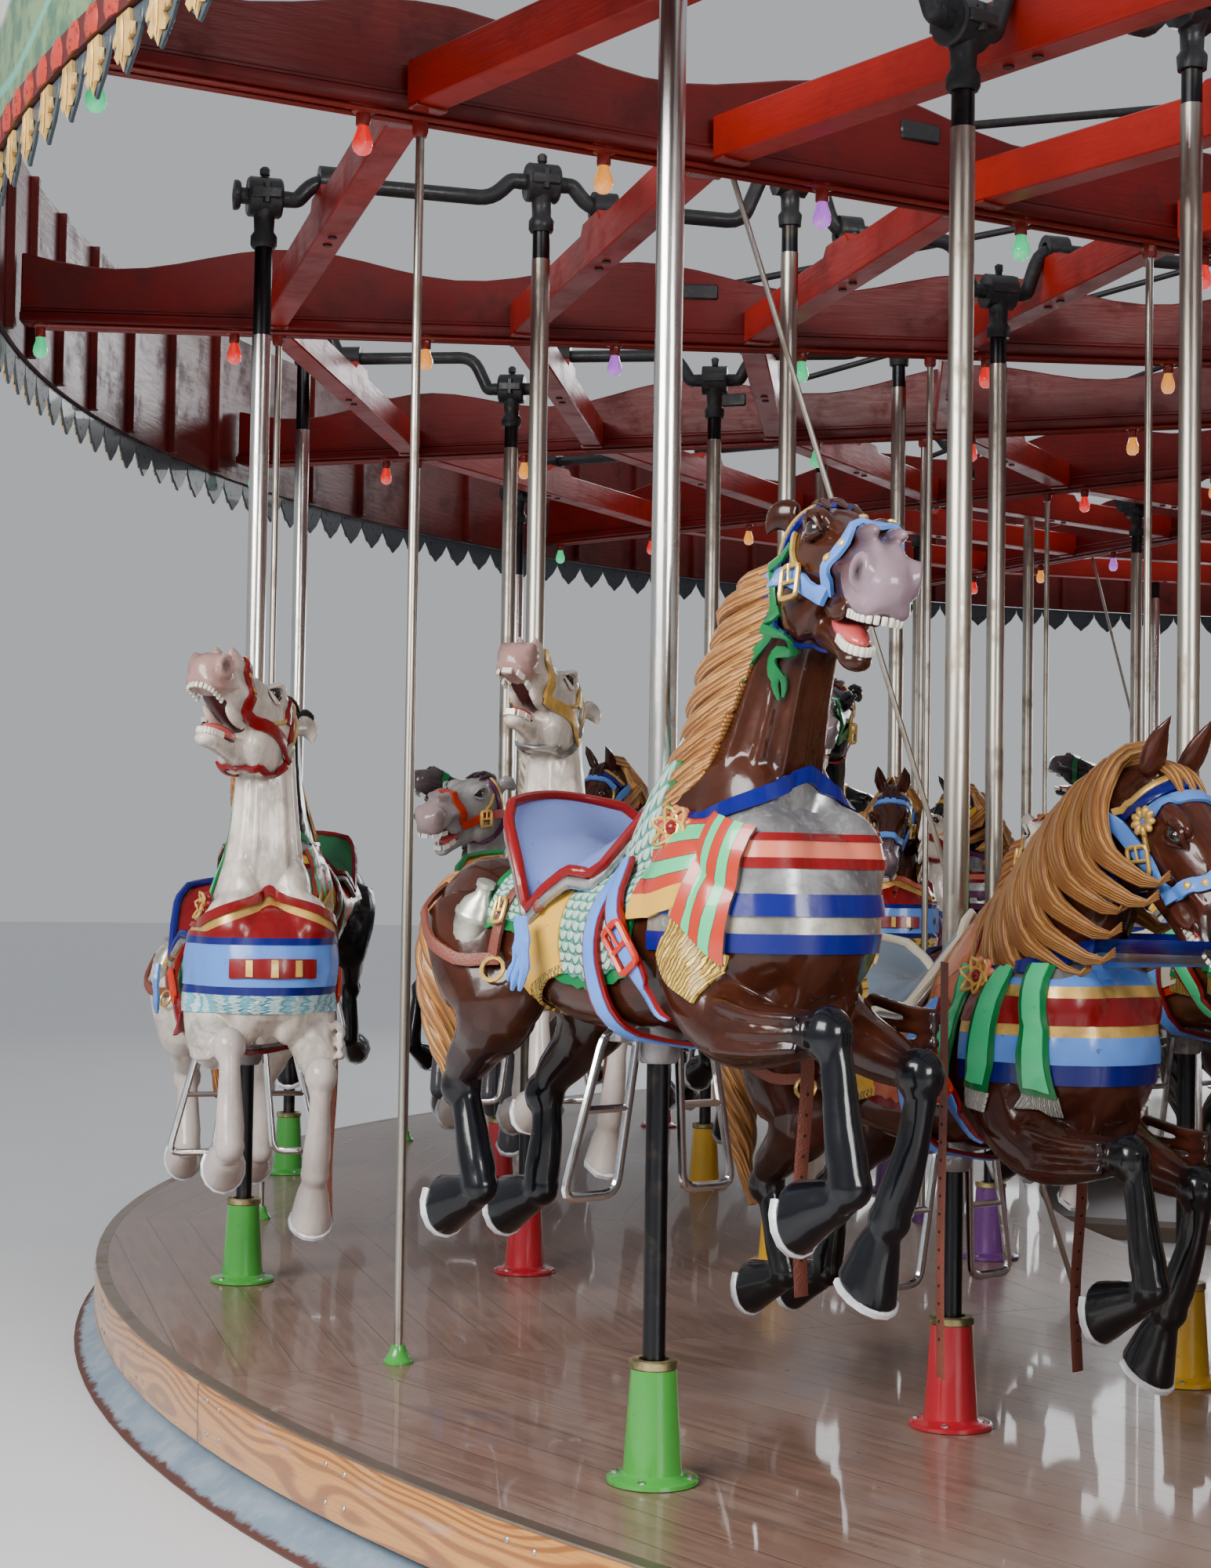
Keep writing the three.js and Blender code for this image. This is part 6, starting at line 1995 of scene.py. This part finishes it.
def lamp_shapes():
    bulb = turning([(0, -0.100), (0.012, -0.098), (0.022, -0.090), (0.0265, -0.076), (0.025, -0.060), (0.018, -0.040),
                    (0.014, -0.024), (0.014, -0.016), (0, -0.015)], 10)
    socket = turning([(0, -0.026), (0.016, -0.026), (0.019, -0.022), (0.019, 0.004), (0.030, 0.008), (0.034, 0.024),
                      (0, 0.024)], 9)
    box = block(-0.050, 0.050, -0.030, 0.030, 0.016, 0.032, 0.004, 1)
    return as_mesh(bulb), as_mesh(socket), as_mesh(box)


def rod_foot():
    return as_mesh(turning([(0.0, 0.0), (0.037, 0.0), (0.037, 0.006), (0.031, 0.012), (0.020, 0.032), (0.018, 0.044),
                            (0.0, 0.047)], 14))


def build_sweeps():
    beam, beam_finishes = sweep_shape()
    bars = [stretcher_shape(radius) for radius in RINGS]
    bulb, socket, box = lamp_shapes()
    foot = rod_foot()
    rod = as_mesh(turning([(0, 0), (0.0115, 0), (0.0115, 1), (0, 1)], 10))
    collar = as_mesh(turning([(0, -0.050), (0.017, -0.050), (0.022, -0.040), (0.022, 0.0), (0, 0)], 8))
    for number in range(1, BAYS + 1):
        place = turned((1 - number) * BAY)
        works = Piece(f"sweep_timbers_{number:02d}")
        works.add(beam, beam_finishes, place)
        for mesh, finishes in bars:
            works.add(mesh, finishes, place @ turned(-BAY / 2))
        lamps = Piece(f"lamps_{number:02d}")
        for k in range(9):
            radius = 7.32 - 0.675 * k
            hang = place @ at(radius, 0, 3.340)
            works.add(socket, TREE["socket"], hang)
            works.add(box, TREE["socket"], hang)
            lamps.add(bulb, LAMPS[k % 4], hang)
        works.add(collar, TREE["socket"], place @ at(OUTER_ROD, 0, SWEEP_FOOT), place @ at(INNER_ROD, 0, SWEEP_FOOT))
        works.done("turntable", (f"sweep_{number:02d}",))
        lamps.done("turntable")
        rods = Piece(f"hanger_rods_{number:02d}")
        for radius, finish in ((OUTER_ROD, PEDESTALS[0]), (INNER_ROD, PEDESTALS[3])):
            rods.add(rod, TREE["dull_steel"],
                     place @ at(radius, 0, DECK_TOP + 0.0005) @ sized(1, 1, SWEEP_FOOT - DECK_TOP))
            rods.add(foot, finish, place @ at(radius, 0, DECK_TOP + 0.0005))
        tie = tube([(5.0, 0, SWEEP_FOOT + 0.20), (0.30, 0, 4.64)], 0.013, 10)
        rods.add(tie, TREE["iron"], place)
        shoe = block(4.93, 5.06, -0.040, 0.040, SWEEP_FOOT + 0.16, SWEEP_FOOT + 0.215, 0.006, 1)
        rods.add(shoe, TREE["iron"], place)
        if number % 4 == 1:
            brace = tube([(4.35, -0.05, DECK_TOP + 0.01), (5.55, -0.05, SWEEP_FOOT)], 0.008, 8)
            rods.add(brace, TREE["dull_steel"], place)
        rods.done("turntable")


# Platform, rim and middle.


def deck_sector(bay):
    """One section of the platform, a hairline short of its radial joints."""
    sector = bmesh.new()
    low, high, edge = DECK_TOP - DECK_THICK, DECK_TOP, DECK_OUTER - 0.003
    section = [(DECK_INNER, low), (edge, low), (edge, high), (DECK_INNER, high)]
    points = [sector.verts.new((r, 0, z)) for r, z in section]
    face = sector.faces.new(points)
    trim = 0.0012 / DECK_OUTER
    bmesh.ops.rotate(sector, verts=points, cent=(0, 0, 0), matrix=Matrix.Rotation(bay * BAY + trim, 3, "Z"))
    bmesh.ops.spin(
        sector, geom=[face], cent=(0, 0, 0), axis=(0, 0, 1), angle=BAY - 2 * trim, steps=12, use_merge=False)
    outwards(sector)
    return as_mesh(sector)


def build_platform():
    floor = Piece("platform_boards")
    for bay in range(BAYS):
        # Row 1 stands in the middle of the first bay, and the rows count backwards.
        row = 1 + -bay % BAYS
        mesh = deck_sector(bay)
        if row in MOVING_ROWS:
            middle = DECK_TOP - DECK_THICK / 2
            mesh = drilled(mesh, [turned(row_angle(row)) @ Vector((r, 0, middle)) for r in RINGS], 0.031, 0.2)
        floor.add(mesh, TREE["deck"])
    floor.done("turntable", ("deck_main", "deck_bay_01", "deck_bay_02"), 30)
    near_pedestal, far_pedestal = pedestal_shape(28), pedestal_shape(12)
    for ring, radius in enumerate(RINGS):
        stands = Piece(f"pedestals_ring_{ring + 1}")
        for row in range(1, BAYS + 1):
            shape = near_pedestal if row in FINE_ROWS else far_pedestal
            place = turned(row_angle(row)) @ at(radius, 0, DECK_TOP)
            stands.add(shape, [PEDESTALS[ring], TREE["brass"], TREE["nail"]], place)
        stands.done("turntable")
    edge = Piece("oak_fascia")
    edge.add(ring_of([(6.9715, 0.092), (7.0, 0.092), (7.001, 0.100), (7.001, 0.226), (6.996, 0.234),
                      (6.9715, 0.2345)], RING_SIDES), TREE["oak"])
    edge.add(ring_of([(6.962, 0.2345), (6.999, 0.2345), (7.0, 0.2365), (6.998, 0.2405), (6.962, 0.2405)],
                     RING_SIDES), TREE["trim"])
    nail = as_mesh(turning([(0, 0.0), (0.0065, 0.0), (0.005, 0.002), (0, 0.003)], 7))
    places = []
    for k in range(NAIL_PAIRS):
        angle = k * FULL_TURN / NAIL_PAIRS + 0.01
        for height, slip in ((0.205, 0.0), (0.125, 0.0), (0.200, 0.012), (0.130, 0.012)):
            places.append(turned(angle + slip) @ at(7.001, 0, height) @ ALONG_X)
    edge.add(nail, TREE["nail"], *places)
    edge.done("turntable", ("deck_fascia",), 50)
    kerb = Piece("kerb_ring")
    kerb.add(ring_of([(6.862, 0.0), (7.058, 0.0), (7.060, 0.006), (7.030, 0.020), (6.985, 0.048), (6.952, 0.074),
                      (6.862, 0.0745)], RING_SIDES), TREE["kerb"])
    kerb.done("ground_frame", ("platform_kerb",), 60)


def drilled(mesh, centres, radius, depth):
    """A copy of a slab with round holes through it."""
    slab = bpy.data.objects.new("slab", mesh)
    drill_shape = bmesh.new()
    for centre in centres:
        bmesh.ops.create_cone(drill_shape, cap_ends=True, segments=24, radius1=radius, radius2=radius, depth=depth,
                              matrix=at(*centre))
    drill = bpy.data.objects.new("drill", as_mesh(drill_shape))
    for made in (slab, drill):
        bpy.context.scene.collection.objects.link(made)
    cut = slab.modifiers.new("cut", "BOOLEAN")
    cut.operation, cut.solver, cut.object = "DIFFERENCE", "EXACT", drill
    bpy.context.view_layer.update()
    made = bpy.data.meshes.new_from_object(slab.evaluated_get(bpy.context.evaluated_depsgraph_get()))
    bpy.data.objects.remove(slab)
    bpy.data.objects.remove(drill)
    return made


def acanthus():
    """A low gilt leaf of three lobes with a raised rib, hanging from z 0."""
    shape = bmesh.new()
    left = [(0.0, 0.0), (0.030, -0.002), (0.034, -0.030), (0.055, -0.040), (0.048, -0.062), (0.026, -0.066),
            (0.040, -0.085), (0.030, -0.104), (0.012, -0.098), (0.0, -0.130)]
    outline = left + [(-x, z) for x, z in reversed(left[1:-1])]
    face = shape.faces.new([shape.verts.new((x, 0, z)) for x, z in outline])
    grown = bmesh.ops.extrude_face_region(shape, geom=[face])["geom"]
    bmesh.ops.translate(shape, vec=(0, -0.008, 0), verts=[v for v in grown if isinstance(v, bmesh.types.BMVert)])
    bmesh.ops.triangulate(shape, faces=shape.faces[:])
    outwards(shape)
    made = Piece("leaf")
    made.add(shape, TREE["leaf"])
    made.add(ball((0, -0.010, -0.058), (0.008, 0.007, 0.056), level=1), TREE["leaf"])
    for side in (-1, 1):
        made.add(ball((0.028 * side, -0.009, -0.045), (0.007, 0.005, 0.026), 28 * side, 1), TREE["leaf"])
    return as_mesh(made.sum)


def around(count, place, shift=0.0):
    """A place on the X axis repeated evenly round the machine."""
    return [turned((k + shift) * FULL_TURN / count) @ place for k in range(count)]


def build_rim():
    works = Piece("rim_panels")

    def hoop(profile, finish):
        works.add(ring_of(profile, RING_SIDES), TREE[finish])

    back = RIM_INNER + 0.002
    hoop([(RIM_BACK, 3.352), (RIM_FACE, 3.352), (RIM_FACE, 3.868), (RIM_BACK, 3.868)], "rim_art")
    hoop([(back, RIM_FOOT + 0.004), (7.4118, RIM_FOOT + 0.004), (7.4118, 3.955), (back, 3.955)], "rim_back")
    hoop([(RIM_BACK, 3.868), (7.452, 3.868), (7.460, 3.888), (7.482, 3.905), (7.495, 3.930), (7.499, 3.958),
          (RIM_BACK, 3.958)], "gilt")
    # The near-black band behind the beads is painted shade in the notches between them.
    hoop([(RIM_BACK, RIM_FOOT + 0.002), (7.448, RIM_FOOT + 0.002), (7.450, 3.350), (RIM_BACK, 3.350)], "bead_dark")
    bead = as_mesh(turning([(0, -0.033), (0.017, -0.033), (0.022, -0.009), (0.022, 0.009), (0.017, 0.033),
                            (0, 0.033)], 8))
    works.add(bead, TREE["bead"], *around(BEADS, at(7.440, 0, 3.316) @ sized(0.9, 2.4, 1)))
    frame_bar = as_mesh(block(-0.012, 0.012, -0.028, 0.028, 3.352, 3.868, 0.006, 1))
    works.add(frame_bar, TREE["gilt"], *around(BAYS, at(RIM_FACE, 0, 0), 0.5))
    batten = as_mesh(block(-0.016, 0.016, -0.020, 0.020, 3.29, 3.95, 0.004, 1))
    works.add(batten, TREE["rim_back"], *around(BAYS * 6, at(RIM_INNER - 0.012, 0, 0), 0.5))
    works.done("turntable", tuple(f"rim_boards_{k}" for k in (1, 2, 3, 4)), 40)
    fringe = Piece("leaf_fringe")
    tooth = as_mesh(board([(-0.098, 0.0), (0.098, 0.0), (0.092, -0.040), (0.055, -0.090), (0.018, -0.118),
                           (0.0, -0.134), (-0.018, -0.118), (-0.055, -0.090), (-0.092, -0.040)], 0.010, 0.002))
    leaf = thinned(acanthus(), 0.7)
    across = turned(math.pi / 2)
    fringe.add(tooth, TREE["tooth"], *around(LEAVES, at(7.428, 0, RIM_FOOT - 0.001) @ across))
    fringe.add(leaf, TREE["leaf"], *around(LEAVES, at(7.4335, 0, RIM_FOOT - 0.001) @ across @ sized(1.25, 1, 1)))
    fringe.done("turntable", tuple(f"rim_fringe_{k}" for k in (1, 2, 3, 4)), 40)


def build_middle():
    housing = Piece("middle_housing")
    foot = 0.062
    core = ring_of([(1.72, foot), (1.84, foot), (1.84, 2.88), (1.96, 2.94), (1.96, 3.01), (1.90, 3.03), (0.14, 3.108),
                    (0.14, 3.00), (1.72, 2.90)], BAYS)
    housing.add(core, TREE["housing"])
    half, face = 1.84 * math.sin(BAY / 2), 1.84 * math.cos(BAY / 2)
    inset = half - 0.09
    plinth = as_mesh(block(face - 0.01, face + 0.035, -half, half, 0.18, 0.42, 0.012, 2))
    sides = around(BAYS, at(0, 0, 0))
    housing.add(plinth, TREE["housing"], *sides)
    heights = (0.56, 2.30), (2.42, 2.78)
    for low, high in heights:
        field = as_mesh(block(face - 0.01, face + 0.012, -inset, inset, low, high, 0.004, 1))
        housing.add(field, TREE["housing_field"], *sides)
    for low, high in heights:
        corners = [(face + 0.006, y, z) for y, z in ((-inset, low), (inset, low), (inset, high), (-inset, high))]
        loop = as_mesh(tube(rounded(corners, 0.02, 2, True), 0.016, 6, closed=True))
        housing.add(loop, TREE["gilt"], *sides)
    oval = [(0.16 * math.cos(a * math.pi / 16), 0.34 * math.sin(a * math.pi / 16)) for a in range(32)]
    oval = as_mesh(tube([(face + 0.014, y, 1.50 + z) for y, z in oval], 0.014, 6, closed=True))
    housing.add(oval, TREE["gilt"], *sides)
    ribs = as_mesh(tube([(1.845, 0, 0.42), (1.845, 0, 2.86)], 0.022, 8))
    housing.add(ribs, TREE["gilt"], *around(BAYS, at(0, 0, 0), 0.5))
    housing.done("ground_frame", ("centre_housing",), 35)
    for name, finish in (("base_sills", "sill"), ("centre_mast", "iron"), ("hub_spider", "iron")):
        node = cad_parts[name]
        node.data.materials.clear()
        node.data.materials.append(TREE[finish])


def build_rows():
    for row in range(1, BAYS + 1):
        if row in MOVING_ROWS:
            build_crank(row, ())
            for ring in (1, 2, 3, 4):
                body = f"horse_{row:02d}_{ring}"
                build_horse(row, ring, body, (body,))
                pole = Piece("pole_" + body[6:])
                add_pole(pole, row, ring, ring < 3)
                pole.done(body)
        else:
            name = f"horse_row_{row:02d}"
            build_crank(row, (name,))
            poles = Piece(f"poles_row_{row:02d}")
            for ring in (1, 2, 3, 4):
                build_horse(row, ring, "turntable", ())
                add_pole(poles, row, ring, (row, ring) in MIDDLE_HORSES)
            poles.done("turntable")


# Camera, floor and light.


def build_stage():
    scene = bpy.context.scene
    yaw, pitch, roll = math.radians(-117.019), math.radians(2.213), math.radians(0.867)
    look = Vector((math.cos(pitch) * math.cos(yaw), math.cos(pitch) * math.sin(yaw), math.sin(pitch)))
    right = Vector((math.sin(yaw), -math.cos(yaw), 0))
    up = right.cross(look)
    level = math.cos(roll) * right + math.sin(roll) * up
    top = math.cos(roll) * up - math.sin(roll) * right
    camera = bpy.data.objects.new("eye_level_camera", bpy.data.cameras.new("eye_level_camera"))
    scene.collection.objects.link(camera)
    camera.matrix_world = axes(level, top, -look, (8.7769, 5.5694, 1.4504))
    camera.data.sensor_width = 36
    camera.data.lens = 55.14
    camera.data.clip_start, camera.data.clip_end = 0.05, 300
    scene.camera = camera

    ground = bmesh.new()
    bmesh.ops.create_circle(ground, cap_ends=True, segments=96, radius=60, matrix=at(0, 0, -0.001))
    floor = bpy.data.objects.new("studio_floor", as_mesh(ground))
    scene.collection.objects.link(floor)
    pale = Finish("pale_studio_floor", (0.70, 0.71, 0.73), 0.42)
    dust = pale.noise(pale.place(), 1.4, 5, 0.6)
    pale.put("Base Color", pale.mix(dust, (0.66, 0.67, 0.69), (0.74, 0.75, 0.77)))
    pale.put("Roughness", dust * 0.15 + 0.34)
    floor.data.materials.append(pale.material)

    world = bpy.data.worlds.new("soft_studio")
    world.use_nodes = True
    scene.world = world
    world.node_tree.nodes["Background"].inputs["Color"].default_value = (0.93, 0.96, 1.0, 1)
    world.node_tree.nodes["Background"].inputs["Strength"].default_value = 0.50

    def panel(name, spot, target, width, height, power, colour):
        light = bpy.data.lights.new(name, "AREA")
        light.shape, light.size, light.size_y = "RECTANGLE", width, height
        light.energy, light.color = power, colour
        light.spread = math.radians(120)
        lamp = bpy.data.objects.new(name, light)
        scene.collection.objects.link(lamp)
        way = Vector(target) - Vector(spot)
        lamp.matrix_world = at(*spot) @ way.to_track_quat("-Z", "Y").to_matrix().to_4x4()

    panel("front_panel", (12.5, 3.0, 4.6), (5.6, 1.0, 1.2), 5.0, 3.0, 500, (1.0, 0.98, 0.95))
    panel("side_panel", (5.5, 13.5, 4.5), (5.4, 1.0, 1.2), 5.0, 3.5, 560, (1.0, 0.98, 0.95))
    panel("far_panel", (-9.0, -11.0, 5.0), (0.0, 0.0, 1.0), 13.0, 6.0, 760, (0.95, 0.98, 1.0))


build_stage()
build_platform()
build_rim()
build_middle()
build_sweeps()
build_rows()
